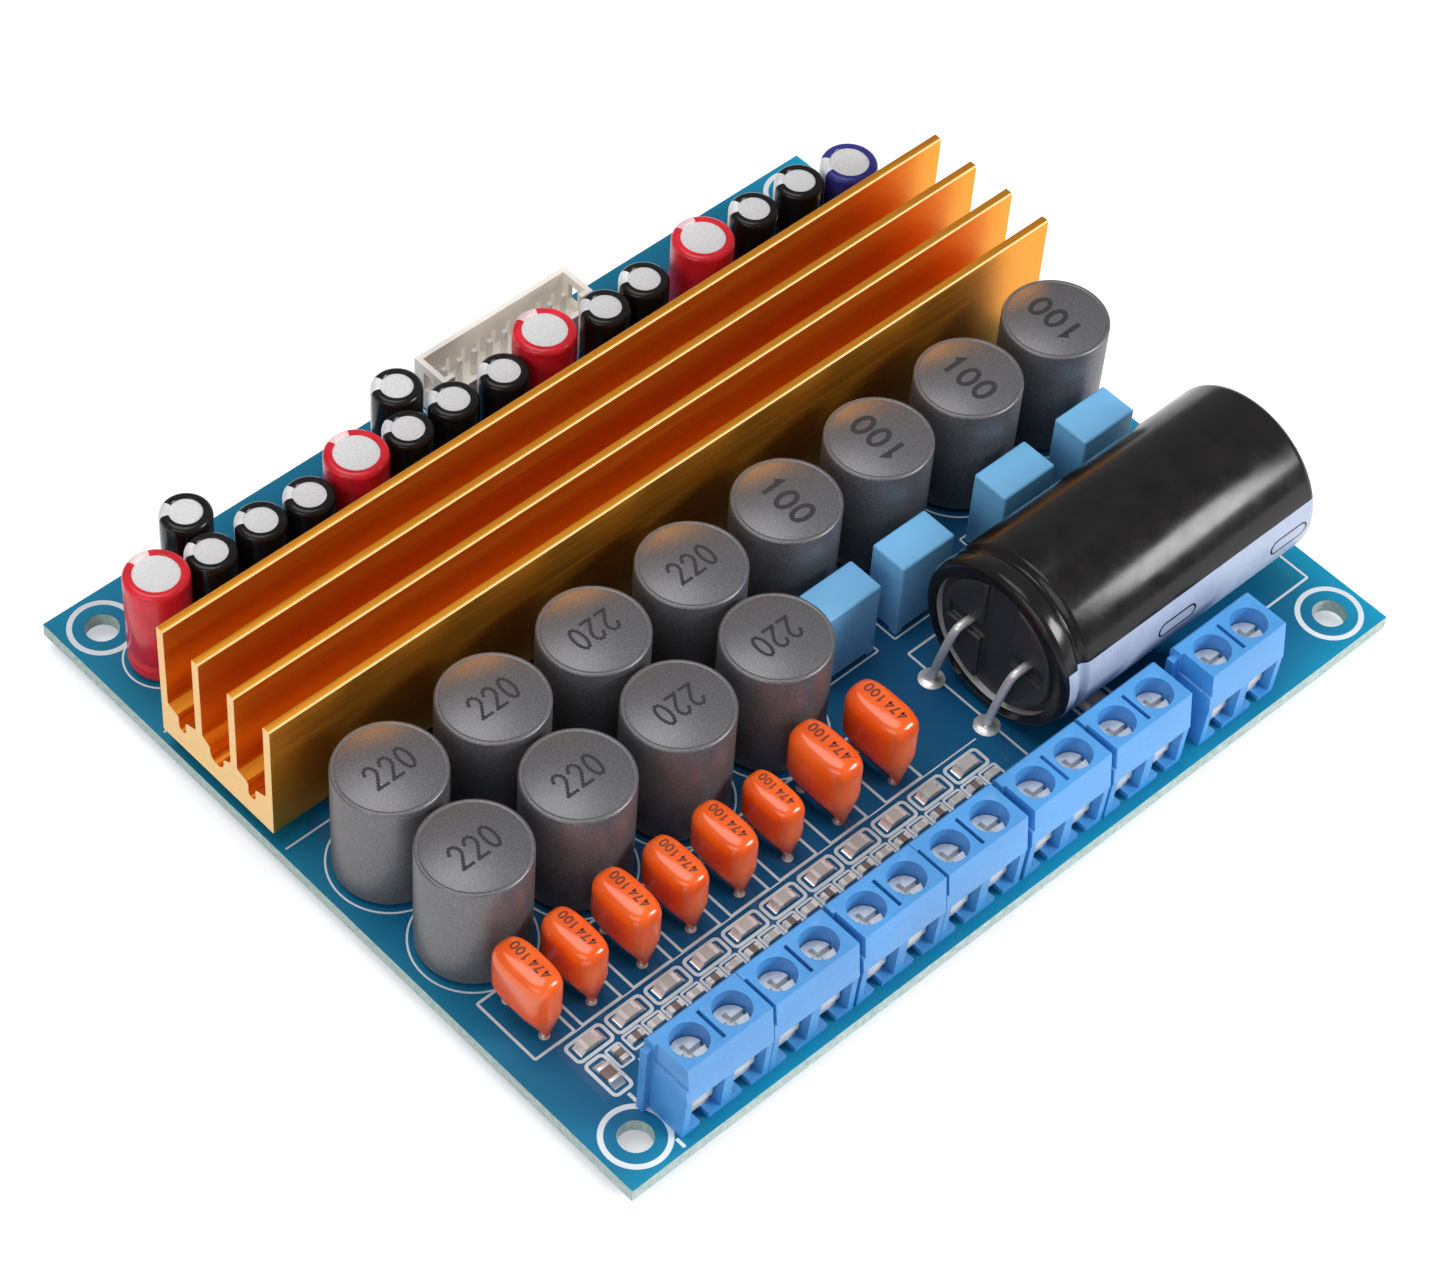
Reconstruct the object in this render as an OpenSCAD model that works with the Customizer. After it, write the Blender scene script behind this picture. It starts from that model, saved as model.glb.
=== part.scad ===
// Audio amplifier board with a finned heatsink and screw terminals. Millimetres, Z up.
// The origin is the centre of the mounting hole pattern on the underside of the board.
// X runs along the terminal edge, Y from the terminals to the signal header.

/* [Board] */
// Length of the board along the terminal edge
board_l = 100; // [100:0.5:108]
// Width of the board from the terminals to the header
board_w = 84; // [83:0.5:90]
// Thickness of the board
board_t = 1.6; // [1:0.1:2.4]
// Distance of a mounting hole from each board edge
hole_inset = 4; // [3.5:0.1:4.4]
// Mounting hole diameter
hole_d = 3.4; // [3:0.1:3.6]

/* [Leads] */
// Radial clearance of a lead in its board hole
lead_clear = 0.15; // [0.1:0.05:0.25]
// Length of the cut leads under the board
tail_l = 1.2; // [0.9:0.1:1.4]
// Length of the terminal and header pins under the board
pin_tail_l = 1.6; // [1.5:0.1:2.5]
// Height of a solder fillet under the board
solder_h = 0.7; // [0.5:0.1:0.8]
// Width of a solder fillet round its lead
solder_w = 0.45; // [0.3:0.05:0.5]

/* [Terminal blocks] */
// Distance between the two poles of a block
pole_pitch = 5.08; // [5:0.01:5.4]
// Height of a block above the board
block_h = 10; // [9:0.1:12]
// Distance of the screw axes from the terminal edge
terminal_inset = 3.8; // [3.5:0.1:4.4]
// X of the first block's middle
first_block_x = -37.86; // [-38.2:0.01:-37]
// Width of a block beyond its two pole pitches
block_extra = 0.3; // [0.1:0.05:0.3]
// Space after each speaker block, the last one before the power block
block_gaps = [0.09, 0.47, 0.07, 0.62, 0.43, 2.65];
// Top front edge of a block ahead of the screw axis
block_front = 2.35; // [2.2:0.05:2.6]
// How far the nose over the wire windows stands out
nose_out = 0.6; // [0.3:0.05:0.8]
// Height of the nose
nose_z = 5.5; // [5.2:0.1:6]
// Foot of the front ahead of the screw axis
block_foot = 2.6; // [2.4:0.05:2.9]
// Back wall behind the screw axis
block_back = 2.85; // [2.75:0.05:3.2]
// Floor thickness under the wire clamps
floor_t = 0.7; // [0.5:0.1:1]
// Width of the slot in each floor
floor_slot_w = 1.1; // [0.8:0.1:1.4]
// Width of the slot between the two bores
pole_slot_w = 0.4; // [0.3:0.05:0.6]
// Length of the slot between the two bores
pole_slot_l = 3.6; // [3:0.1:4]
// Depth of the slot between the two bores
pole_slot_depth = 1.4; // [1:0.1:2]
// Step in the left end of a block
end_step = 0.3; // [0.2:0.05:0.35]
// Height of that step
end_step_z = 7.3; // [6.8:0.1:8]
// How far the joining rib stands out
rib_out = 0.8; // [0.7:0.05:0.85]
// Outer width of the joining rib
rib_w = 0.9; // [0.7:0.05:0.95]
// Neck width of the joining rib
rib_neck = 0.6; // [0.5:0.05:0.65]
// Clearance of the rib in its neighbour's groove
rib_clear = 0.1; // [0.08:0.01:0.12]
// How far the rib ends below the top of the block
rib_drop = 0.8; // [0.5:0.1:1.2]

/* [Wire clamps and screws] */
// Width of a clamp plate
clamp_w = 3.5; // [3.2:0.05:3.5]
// Sheet thickness of a clamp plate
clamp_t = 0.4; // [0.3:0.05:0.45]
// Height of the front of a clamp plate
clamp_h = 2; // [1.6:0.1:2]
// Travel of a clamp from closed to open
clamp_travel = 1.8; // [1.4:0.1:1.8]
// Side clearance of a clamp in its chamber
clamp_clear = 0.2; // [0.1:0.01:0.2]
// Clearance between the parts of a pole
slide_gap = 0.05; // [0.04:0.01:0.08]
// Sheet thickness of a contact
strip_t = 0.45; // [0.4:0.05:0.5]
// Width of the back of a contact
strip_w = 2.3; // [2:0.1:2.4]
// Side clearance of a contact in its block
strip_clear = 0.15; // [0.1:0.01:0.15]
// Width of the foot of a contact
foot_w = 3; // [2.6:0.1:3.4]
// Width of the threaded top of a contact
nut_w = 3.4; // [3.2:0.1:3.6]
// Thickness of the threaded top of a contact
nut_t = 0.9; // [0.6:0.1:0.9]
// Width of a contact pin
pin_w = 0.9; // [0.7:0.05:1]
// Screw thread diameter
screw_d = 2.5; // [2.4:0.1:2.6]
// Radial clearance of a screw in its contact
screw_clear = 0.05; // [0.04:0.01:0.08]
// Space under a screw head when its clamp is closed
head_lift = 0.5; // [0.3:0.1:0.6]
// Screw head diameter
head_d = 3.5; // [3.2:0.05:3.5]
// Screw head height
head_h = 1.3; // [1.1:0.1:1.5]
// Radial clearance of a screw head in its bore
bore_clear = 0.1; // [0.08:0.01:0.1]
// Width of the screwdriver slot
driver_w = 0.5; // [0.4:0.05:0.6]
// Depth of the screwdriver slot
driver_depth = 0.7; // [0.5:0.1:0.8]
// Length of the cross arm of the screwdriver slot
driver_cross_l = 2; // [1.6:0.1:2.4]

/* [Heatsink] */
// Length of the heatsink
sink_l = 100; // [90:1:100]
// Width over the outer fins
sink_w = 16.2; // [15:0.1:18]
// Height of the heatsink
sink_h = 15; // [12:0.5:20]
// Space between the heatsink and the inductors
coil_sink_gap = 2.65; // [1.5:0.05:3]
// Thickness of a fin
fin_t = 0.95; // [0.8:0.05:1.2]
// Base thickness beside the grooves
base_t = 4.2; // [3.8:0.1:5]
// Rise of each channel floor toward its fins
shoulder_h = 0.45; // [0.2:0.05:0.6]
// Width of the outer grooves
groove_w = 1.05; // [0.8:0.05:1.2]
// Width of the middle groove
middle_groove_w = 2; // [1.6:0.1:2.2]
// Depth of the grooves
groove_depth = 1.8; // [1.2:0.1:1.8]

/* [Amplifier chips] */
// Chip length
chip_l = 11; // [10:0.1:12]
// Chip width
chip_w = 6.2; // [5.8:0.1:7]
// Chip thickness
chip_h = 1.1; // [0.9:0.05:1.3]
// Space under a chip
chip_lift = 0.1; // [0.05:0.01:0.15]
// Distance between chips
chip_pitch = 24.6; // [20:0.1:26]
// Thickness of a thermal pad
pad_t = 0.8; // [0.3:0.1:1]
// Thread diameter of the heatsink screws
sink_screw_d = 3; // [2.5:0.1:3]
// Head diameter of the heatsink screws
sink_head_d = 5.4; // [5:0.1:5.8]
// Head height of the heatsink screws
sink_head_h = 1.3; // [1:0.1:1.4]
// Depth of a heatsink screw in the base
sink_screw_depth = 1.8; // [1.4:0.1:1.8]
// Radial clearance of a heatsink screw
sink_screw_clear = 0.05; // [0.04:0.01:0.1]

/* [Inductors] */
// Inductor diameter
coil_d = 10.9; // [9.5:0.1:11.1]
// Inductor height
coil_h = 13.6; // [11:0.1:15]
// Height of the foot under an inductor
coil_foot_h = 0.4; // [0.3:0.1:0.8]
// Diameter of the foot under an inductor
coil_foot_d = 9.4; // [8:0.1:9.4]
// Bevel round the top of an inductor
coil_bevel = 0.35; // [0.2:0.05:0.6]
// Distance between inductors in a row
coil_pitch = 12.3; // [11.5:0.1:12.4]
// X of the middle of the long row
coil_row_x = 0.15; // [-0.5:0.05:0.5]
// Space between the two rows
coil_row_gap = 0.7; // [0.3:0.1:1]
// Space between the short row and the dipped capacitors
dip_coil_gap = 0.35; // [0.25:0.05:0.6]
// Inductor pin diameter
coil_pin_d = 0.8; // [0.6:0.1:1]
// Distance between an inductor's pins
coil_pin_pitch = 5; // [4:0.5:6]

/* [Film capacitors] */
// Thickness of a dipped capacitor
dip_t = 3.9; // [3.2:0.1:4.2]
// Length of a dipped capacitor
dip_l = 7; // [6.4:0.1:7.4]
// Top of a dipped capacitor above the board
dip_top = 8.5; // [7:0.1:10]
// Edge radius of a dipped capacitor
dip_r = 1.15; // [0.9:0.05:1.4]
// Height of the shoulder where the dip tapers to its leads
dip_shoulder = 2.7; // [2.3:0.1:3.2]
// X of each dipped capacitor
dip_x = [-45, -39.35, -33.15, -27.15, -21.05, -14.9, -8.35, -1.1];
// Size of each dipped capacitor against the plain size
dip_size = [1.03, 0.98, 1.02, 0.98, 0.98, 0.92, 1.1, 1.1];
// Space between the dipped capacitors and the large chip parts
chip_dip_gap = 1.325; // [1:0.025:2]
// Length of a box capacitor
box_l = 7; // [6.4:0.1:7.6]
// Thickness of a box capacitor
box_t = 4.3; // [3.5:0.1:4.8]
// Height of a box capacitor
box_h = 9.4; // [8:0.1:11]
// Height of the feet under a box capacitor
box_foot_h = 0.4; // [0.2:0.1:0.6]
// X of each box capacitor
box_x = [5.05, 14.9, 28.75, 40];
// Space between the box capacitors and the inductors
box_coil_gap = 1.5; // [0.8:0.1:2]
// Lead distance of the film capacitors
film_pitch = 5; // [4:0.1:5]
// Lead diameter of the film capacitors
film_lead_d = 0.6; // [0.5:0.05:0.7]

/* [Upright electrolytic capacitors] */
// Space between the heatsink and the red capacitors
sink_can_gap = 4.45; // [3:0.05:5]
// Space between the red capacitors and the header
can_header_gap = 2.65; // [1.5:0.05:3]
// Each red capacitor's X, and its Y from the middle of the row
red_places = [[-43.9, 0.4], [-20.05, 0], [4.45, 0.5], [25.1, -0.2]];
// Each black capacitor's X, and its Y from the middle of the row
black_places = [
    [-36.55, 5.35], [-37.8, -0.05], [-31.8, -0.05], [-26.3, -0.55],
    [-10.9, 4.85], [-13.65, -0.1], [-7.8, 0], [-1.6, -0.35],
    [11.8, -0.3], [17.35, 0.05], [32.6, 0.2], [38.95, 0.15]
];
// The blue capacitor's X, and its Y from the middle of the row
blue_places = [[44.8, -1.2]];
// Sleeve diameter of the red capacitors
red_d = 6.5; // [6:0.1:6.6]
// Top of the red capacitors above the board
red_top = 12.5; // [11:0.1:14]
// Sleeve diameter of the black capacitors
black_d = 5.2; // [4.8:0.1:5.3]
// Top of the black capacitors above the board
black_top = 11.5; // [9:0.1:13]
// Sleeve diameter of the blue capacitor
blue_d = 6; // [5:0.1:6.4]
// Top of the blue capacitor above the board
blue_top = 11.5; // [9:0.1:13]
// Space under an upright capacitor
can_lift = 0.25; // [0.1:0.05:0.4]
// Sleeve thickness
sleeve_t = 0.15; // [0.12:0.01:0.2]
// Space between a sleeve and its can
sleeve_gap = 0.02; // [0.01:0.01:0.04]
// Width of the sleeve lip over the top of a can
lip_w = 0.95; // [0.8:0.05:1.1]
// Depth of the crimp groove
crimp_depth = 0.25; // [0.15:0.01:0.3]
// Height of the crimp groove above the foot of a can
crimp_z = 1.9; // [1.5:0.1:2.4]
// Thickness of a rubber bung
bung_h = 1; // [0.8:0.1:1.2]
// Lead diameter of the upright capacitors
can_lead_d = 0.5; // [0.4:0.05:0.6]
// Lead distance of the black capacitors
black_pitch = 2; // [1.8:0.1:2.2]
// Lead distance of the red and blue capacitors
red_pitch = 2.5; // [2.2:0.1:2.8]

/* [Main capacitor] */
// Sleeve diameter
main_d = 18.4; // [16:0.1:18.6]
// Length
main_l = 35.4; // [32:0.1:36]
// X of the lead end
main_x = 11.6; // [11.4:0.1:12.2]
// Space between the main capacitor and the terminal blocks
main_front_gap = 2.05; // [1.5:0.05:2.5]
// Space between the main capacitor and the box capacitors
main_box_gap = 2.65; // [2:0.05:3]
// Space under the sleeve
main_lift = 0.2; // [0.1:0.05:0.4]
// Sleeve thickness
main_sleeve_t = 0.2; // [0.15:0.01:0.3]
// Width of the sleeve lip at the ends
main_lip_w = 1.5; // [1.3:0.05:1.8]
// Depth of the bead groove near the lead end
bead_depth = 0.6; // [0.3:0.05:0.7]
// Distance of the bead groove from the lead end
bead_x = 2.7; // [2.5:0.1:3.2]
// Depth of the plug face behind the lead end
plug_inset = 0.9; // [0.7:0.05:1.1]
// Thickness of the plug
plug_t = 2.4; // [2:0.1:3]
// Height of the raised blocks on the plug
plug_block_h = 0.7; // [0.4:0.05:0.7]
// Half width of the sunk middle of the plug
plug_middle = 1.9; // [1.6:0.1:2.1]
// Distance between the leads
main_pitch = 7.5; // [7:0.1:8]
// Lead diameter
main_lead_d = 0.9; // [0.8:0.05:1]
// Sideways lean of the leads down to the board
main_lead_lean = 2; // [0:0.1:2.2]
// X of the lead holes
main_pad_x = 10.35; // [10.1:0.05:10.5]

/* [Signal header] */
// Number of pins
pin_count = 9; // [4:1:11]
// Distance between pins
pin_pitch = 2; // [2:0.01:2.1]
// X of the header's middle
header_x = 6; // [5:0.1:8]
// Distance of the header's middle from the back edge
header_inset = 2.85; // [2.6:0.05:3.2]
// End wall beyond the outer pin
header_end = 1.95; // [1.8:0.05:2.2]
// Depth of the header
header_d = 4.5; // [4.3:0.1:5]
// Height of the header
header_h = 6; // [5.5:0.1:7]
// Height of the low front wall
header_front_h = 3.6; // [3:0.1:4.4]
// Floor thickness of the header
header_floor = 1.6; // [1.3:0.1:2]
// Wall thickness of the header
header_wall = 0.6; // [0.5:0.05:0.7]
// Width of the slots in the back wall
header_slot_w = 0.5; // [0.4:0.05:0.7]
// Pin thickness
header_pin_t = 0.5; // [0.45:0.01:0.55]
// Clearance of a pin in the header floor
header_pin_clear = 0.02; // [0.01:0.01:0.05]
// Height of the pins above the board
header_pin_h = 4.9; // [4.4:0.1:5.2]

/* [Chip parts] */
// Length of the large chip parts
large_l = 2; // [1.8:0.1:2.2]
// Width of the large chip parts
large_w = 1.25; // [1.1:0.05:1.4]
// Height of the large chip parts
large_h = 0.7; // [0.5:0.05:0.9]
// Length of the small chip parts
small_l = 1.6; // [1.4:0.05:1.8]
// Width of the small chip parts
small_w = 0.8; // [0.7:0.05:0.9]
// Height of the small chip parts
small_h = 0.45; // [0.35:0.05:0.6]
// Length of a soldered end
chip_end = 0.45; // [0.3:0.05:0.45]
// Number of large chip parts in the long row
large_count = 11; // [6:1:11]
// Distance between the large chip parts
large_pitch = 4.79; // [4.4:0.01:4.8]
// X of the first large chip part
large_first_x = -42.55; // [-43:0.05:-42]
// X of the large chip part beside the long row
lone_large_x = 20.25; // [15:0.05:24]
// Number of small chip parts in the long row
small_count = 20; // [8:1:20]
// Distance between the small chip parts
small_pitch = 2.395; // [2.3:0.005:2.4]
// X of the first small chip part
small_first_x = -38.92; // [-39:0.01:-38.8]
// Space between the small chip parts and the terminal blocks
terminal_chip_gap = 4.6; // [4:0.05:5]
// Space between the rows of chip parts
chip_row_gap = 1.275; // [0.8:0.025:1.5]

/* [Hidden] */
$fn = 48;

// Rows of parts from the terminal blocks to the header; on another board width their gaps share the change
terminal_y = -board_w / 2 + terminal_inset;
header_y = board_w / 2 - header_inset;
rows_front = terminal_y + block_back;
rows_back = header_y - header_d / 2;
dip_reach = dip_l * max(dip_size);
row_depths = small_w + large_w + dip_reach + 2 * coil_d + sink_w + red_d;
row_gaps = terminal_chip_gap + chip_row_gap + chip_dip_gap + dip_coil_gap + coil_row_gap
    + coil_sink_gap + sink_can_gap + can_header_gap;
spread = (rows_back - rows_front - row_depths) / row_gaps;
small_y = rows_front + small_w / 2 + spread * terminal_chip_gap;
large_y = small_y + (small_w + large_w) / 2 + spread * chip_row_gap;
dip_y = large_y + (large_w + dip_reach) / 2 + spread * chip_dip_gap;
coil_front_y = dip_y + (dip_reach + coil_d) / 2 + spread * dip_coil_gap;
coil_row_y = coil_front_y + coil_d + spread * coil_row_gap;
sink_y = coil_row_y + (coil_d + sink_w) / 2 + spread * coil_sink_gap;
can_y = sink_y + (sink_w + red_d) / 2 + spread * sink_can_gap;

// The main capacitor and the box capacitors share the space from the terminal blocks to the long inductor row
main_depths = main_d + box_t;
main_gaps = main_front_gap + main_box_gap + box_coil_gap;
main_spread = (coil_row_y - coil_d / 2 - rows_front - main_depths) / main_gaps;
main_y = rows_front + main_d / 2 + main_spread * main_front_gap;
box_y = main_y + main_depths / 2 + main_spread * main_box_gap;

// Screw terminals
block_w = 2 * pole_pitch + block_extra;
speaker_blocks = len(block_gaps);
function gaps_before(i) = i == 0 ? 0 : gaps_before(i - 1) + block_gaps[i - 1];
block_x = [for (i = [0:speaker_blocks]) first_block_x + i * block_w + gaps_before(i)];
pole_x = [
    for (b = block_x, side = [-1, 1])
        b + side * pole_pitch / 2
];
poles = len(pole_x);
rib_y = 2.05;
rib_end_y = rib_y - rib_w / 2 - rib_clear;

// Heights in a pole with its clamp closed, from the top face of the board upward
contact_z = floor_t + slide_gap;
seat_z = contact_z + strip_t;
clamp_z = seat_z + slide_gap;
screw_tip_z = clamp_z + clamp_t + slide_gap;
nut_z = clamp_z + clamp_h + clamp_travel + 3 * slide_gap;
contact_top_z = nut_z + nut_t;
head_z = contact_top_z + head_lift;

// Widths and depths in a pole, from the screw axis
bore_d = head_d + 2 * bore_clear;
screw_hole_d = screw_d + 2 * screw_clear;
chamber_w = clamp_w + 2 * clamp_clear;
channel_w = strip_w + 2 * strip_clear;
strip_y = screw_hole_d / 2;
strip_back = strip_y + strip_t;
clamp_front = screw_hole_d / 2 + clamp_t;
clamp_back = strip_y - 5 * slide_gap;
nut_front = bore_d / 2 - slide_gap;
pin_y = strip_y + strip_t / 2;

// Heatsink and chips
sink_z = board_t + chip_lift + chip_h + pad_t;
fin_pitch = (sink_w - fin_t) / 3;
chip_sites = [for (i = [0:3]) [(i - 1.5) * chip_pitch, sink_y]];
sink_screw_sites = [for (side = [-1, 1]) [side * chip_pitch, sink_y]];

// Inductors
coil_first_x = coil_row_x - 3.5 * coil_pitch;
coil_sites_220 = concat(
    [for (i = [0:3]) [coil_first_x + i * coil_pitch, coil_row_y]],
    [for (i = [0:3]) [coil_first_x + i * coil_pitch, coil_front_y]]
);
coil_sites_100 = [for (i = [4:7]) [coil_first_x + i * coil_pitch, coil_row_y]];
coil_sites = concat(coil_sites_220, coil_sites_100);

// Film capacitors
dip_sites = [for (x = dip_x) [x, dip_y]];
box_sites = [for (x = box_x) [x, box_y]];

// Upright electrolytic capacitors
red_sites = [for (p = red_places) p + [0, can_y]];
black_sites = [for (p = black_places) p + [0, can_y]];
blue_sites = [for (p = blue_places) p + [0, can_y]];

// Main capacitor
main_axis_z = board_t + main_lift + main_d / 2;
main_can_d = main_d - 2 * (main_sleeve_t + sleeve_gap);
plug_d = main_can_d - 2.4;
main_lead_sites = [
    for (side = [-1, 1])
        [main_pad_x, main_y + side * main_pitch / 2 + main_lead_lean]
];

// Signal header
header_l = (pin_count - 1) * pin_pitch + 2 * header_end;
header_pin_sites = [
    for (i = [0:pin_count - 1])
        [header_x + (i - (pin_count - 1) / 2) * pin_pitch, header_y]
];

// Chip parts, each [x, y, turned across the board]
large_sites = concat(
    [for (i = [0:large_count - 1]) [large_first_x + i * large_pitch, large_y, 0]],
    [[lone_large_x, small_y, 0]]
);
small_sites = concat(
    [for (i = [0:small_count - 1]) [small_first_x + i * small_pitch, small_y, 0]],
    [[small_first_x - small_pitch, small_y - (small_l - small_w) / 2, 1]]
);
resistor_sites = [for (i = [0:len(small_sites) - 1]) if (i % 2 == 0) small_sites[i]];
capacitor_sites = [for (i = [0:len(small_sites) - 1]) if (i % 2 == 1) small_sites[i]];

// Lead holes, each [x, y]
function pair_x(sites, pitch) = [for (s = sites, side = [-1, 1]) [s[0] + side * pitch / 2, s[1]]];
function pair_y(sites, pitch) = [for (s = sites, side = [-1, 1]) [s[0], s[1] + side * pitch / 2]];
coil_holes = pair_x(coil_sites, coil_pin_pitch);
film_holes = concat(pair_y(dip_sites, film_pitch), pair_x(box_sites, film_pitch));
can_holes = concat(
    pair_x(red_sites, red_pitch),
    pair_x(blue_sites, red_pitch),
    pair_x(black_sites, black_pitch)
);
contact_holes = [for (x = pole_x) [x, terminal_y + pin_y]];
contact_pin_d = norm([pin_w, strip_t]);
header_pin_d = norm([header_pin_t, header_pin_t]);

speaker_names = [for (i = [1:speaker_blocks]) str("speaker_terminal_", i)];
screw_names = [for (i = [1:poles]) str("terminal_screw_", i)];
clamp_names = [for (i = [1:poles]) str("wire_clamp_", i)];

// One circle per hole of a lead of diameter d
module lead_holes(sites, d) {
    for (s = sites)
        translate([s[0], s[1]])
            circle(d = d + 2 * lead_clear);
}

// A lead from height top above the board down through its hole, with its solder fillet
module lead(site, d, top) {
    translate([site[0], site[1], -tail_l])
        cylinder(d = d, h = tail_l + board_t + top);
    translate([site[0], site[1], -solder_h])
        cylinder(d1 = d + 0.1, d2 = d + 2 * solder_w, h = solder_h);
}

// A round bar between two points
module bar(from, to, d) {
    span = to - from;
    reach = norm(span);
    translate(from)
        rotate([0, acos(span[2] / reach), atan2(span[1], span[0])])
            cylinder(d = d, h = reach);
}

module circuit_board() {
    color("#0e5f9c")
        linear_extrude(board_t)
            difference() {
                square([board_l, board_w], center = true);
                for (sx = [-1, 1], sy = [-1, 1])
                    translate([sx * (board_l / 2 - hole_inset), sy * (board_w / 2 - hole_inset)])
                        circle(d = hole_d);
                lead_holes(coil_holes, coil_pin_d);
                lead_holes(film_holes, film_lead_d);
                lead_holes(can_holes, can_lead_d);
                lead_holes(main_lead_sites, main_lead_d);
                lead_holes(contact_holes, contact_pin_d);
                lead_holes(header_pin_sites, header_pin_d);
                lead_holes(sink_screw_sites, sink_screw_d);
            }
}

// Cross-section of the heatsink, Y across and Z up from the underside of its base
module sink_profile() {
    floor_edge = base_t + shoulder_h;
    difference() {
        union() {
            translate([-sink_w / 2, 0])
                square([sink_w, base_t]);
            for (i = [0:3])
                translate([(i - 1.5) * fin_pitch - fin_t / 2, 0])
                    square([fin_t, sink_h]);
            for (i = [0:2])
                translate([(i - 1) * fin_pitch, 0])
                    for (side = [-1, 1])
                        polygon([
                            [side * middle_groove_w / 2, base_t - 0.1],
                            [side * fin_pitch / 2, base_t - 0.1],
                            [side * fin_pitch / 2, floor_edge],
                            [side * (fin_pitch - fin_t) / 2, floor_edge],
                            [side * middle_groove_w / 2, base_t]
                        ]);
        }
        for (i = [0:2])
            translate([(i - 1) * fin_pitch, 0]) {
                width = i == 1 ? middle_groove_w : groove_w;
                bottom = base_t - groove_depth + width / 2;
                translate([0, bottom])
                    circle(d = width);
                translate([-width / 2, bottom])
                    square([width, groove_depth + 1]);
            }
    }
}

module heatsink() {
    color("#c8841c")
        difference() {
            translate([-sink_l / 2, sink_y, sink_z])
                rotate([90, 0, 90])
                    linear_extrude(sink_l)
                        sink_profile();
            for (s = sink_screw_sites)
                translate([s[0], s[1], sink_z - 1])
                    cylinder(
                        d = sink_screw_d + 2 * sink_screw_clear,
                        h = sink_screw_depth + 2 * sink_screw_clear + 1
                    );
        }
}

module amplifier_chips() {
    color("#1c1c1e")
        for (s = chip_sites)
            translate([s[0], s[1], board_t + chip_lift + chip_h / 2])
                cube([chip_l, chip_w, chip_h], center = true);
}

module thermal_pads() {
    color("#b8bcc0")
        for (s = chip_sites)
            translate([s[0], s[1], sink_z - pad_t / 2])
                cube([chip_l, chip_w, pad_t], center = true);
}

module heatsink_screws() {
    color("#b9bcc0")
        for (s = sink_screw_sites)
            translate([s[0], s[1], 0])
                difference() {
                    union() {
                        translate([0, 0, -sink_head_h])
                            cylinder(d = sink_head_d, h = sink_head_h);
                        cylinder(d = sink_screw_d, h = sink_z + sink_screw_depth);
                    }
                    translate([-driver_w, -sink_head_d, -sink_head_h - 1])
                        cube([2 * driver_w, 2 * sink_head_d, 1 + driver_depth]);
                }
}

// A shielded inductor standing on its foot
module inductor(site) {
    translate([site[0], site[1], board_t]) {
        cylinder(d = coil_foot_d, h = coil_foot_h);
        translate([0, 0, coil_foot_h])
            cylinder(d = coil_d, h = coil_h - coil_bevel);
        translate([0, 0, coil_foot_h + coil_h - coil_bevel])
            cylinder(d1 = coil_d, d2 = coil_d - 2 * coil_bevel, h = coil_bevel);
    }
}

module inductors_220() {
    color("#4a4a4c")
        for (s = coil_sites_220)
            inductor(s);
}

module inductors_100() {
    color("#515153")
        for (s = coil_sites_100)
            inductor(s);
}

// A dipped film capacitor whose coating runs down to its two leads
module dipped_capacitor(site, size) {
    half_t = dip_t / 2 - dip_r;
    half_l = dip_l / 2 - dip_r;
    translate([site[0], site[1], board_t])
        hull() {
            for (sx = [-1, 1], sy = [-1, 1], z = [dip_shoulder, dip_top - dip_r])
                translate(size * [sx * half_t, sy * half_l, z])
                    sphere(r = size * dip_r, $fn = 24);
            for (side = [-1, 1])
                translate([0, side * film_pitch / 2, 0.3])
                    cylinder(d = film_lead_d + 0.5, h = 0.5, $fn = 16);
        }
}

module dipped_capacitors() {
    color("#f0521a")
        for (i = [0:len(dip_sites) - 1])
            dipped_capacitor(dip_sites[i], dip_size[i]);
}

module box_capacitors() {
    color("#3a8fcc")
        for (s = box_sites)
            translate([s[0], s[1], board_t])
                difference() {
                    translate([-box_l / 2, -box_t / 2, 0])
                        cube([box_l, box_t, box_foot_h + box_h]);
                    translate([-box_l / 2 + 1, -box_t, -1])
                        cube([box_l - 2, 2 * box_t, 1 + box_foot_h]);
                    translate([-box_l, -box_t / 2 + 1, -1])
                        cube([2 * box_l, box_t - 2, 1 + box_foot_h]);
                }
}

// Half outline of a can of radius r from height foot to height top, with its crimp groove
function can_outline(r, foot, top, groove_z) = [
    [0, foot],
    [r - 0.3, foot],
    [r - 0.08, foot + 0.12],
    [r, foot + 0.4],
    [r, groove_z - 0.4],
    [r - crimp_depth, groove_z],
    [r, groove_z + 0.4],
    [r, top - 0.6],
    [r - 0.1, top - 0.28],
    [r - 0.35, top - 0.07],
    [r - 0.65, top],
    [0, top]
];

// Shrink sleeves open at the foot and curled over the top
module sleeves(sites, d, top) {
    r = d / 2;
    groove_z = can_lift + crimp_z;
    for (s = sites)
        translate([s[0], s[1], board_t])
            rotate_extrude()
                difference() {
                    polygon(can_outline(r, can_lift, top, groove_z));
                    polygon(can_outline(r - sleeve_t, can_lift + sleeve_t, top - sleeve_t, groove_z));
                    square([r - 0.5, can_lift + 2 * sleeve_t]);
                    translate([0, top - 2 * sleeve_t])
                        square([r - lip_w, 1]);
                }
}

module red_sleeves() {
    color("#c21f33")
        sleeves(red_sites, red_d, red_top);
}

module black_sleeves() {
    color("#17171a")
        sleeves(black_sites, black_d, black_top);
}

module blue_sleeve() {
    color("#2b2f7a")
        sleeves(blue_sites, blue_d, blue_top);
}

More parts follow.
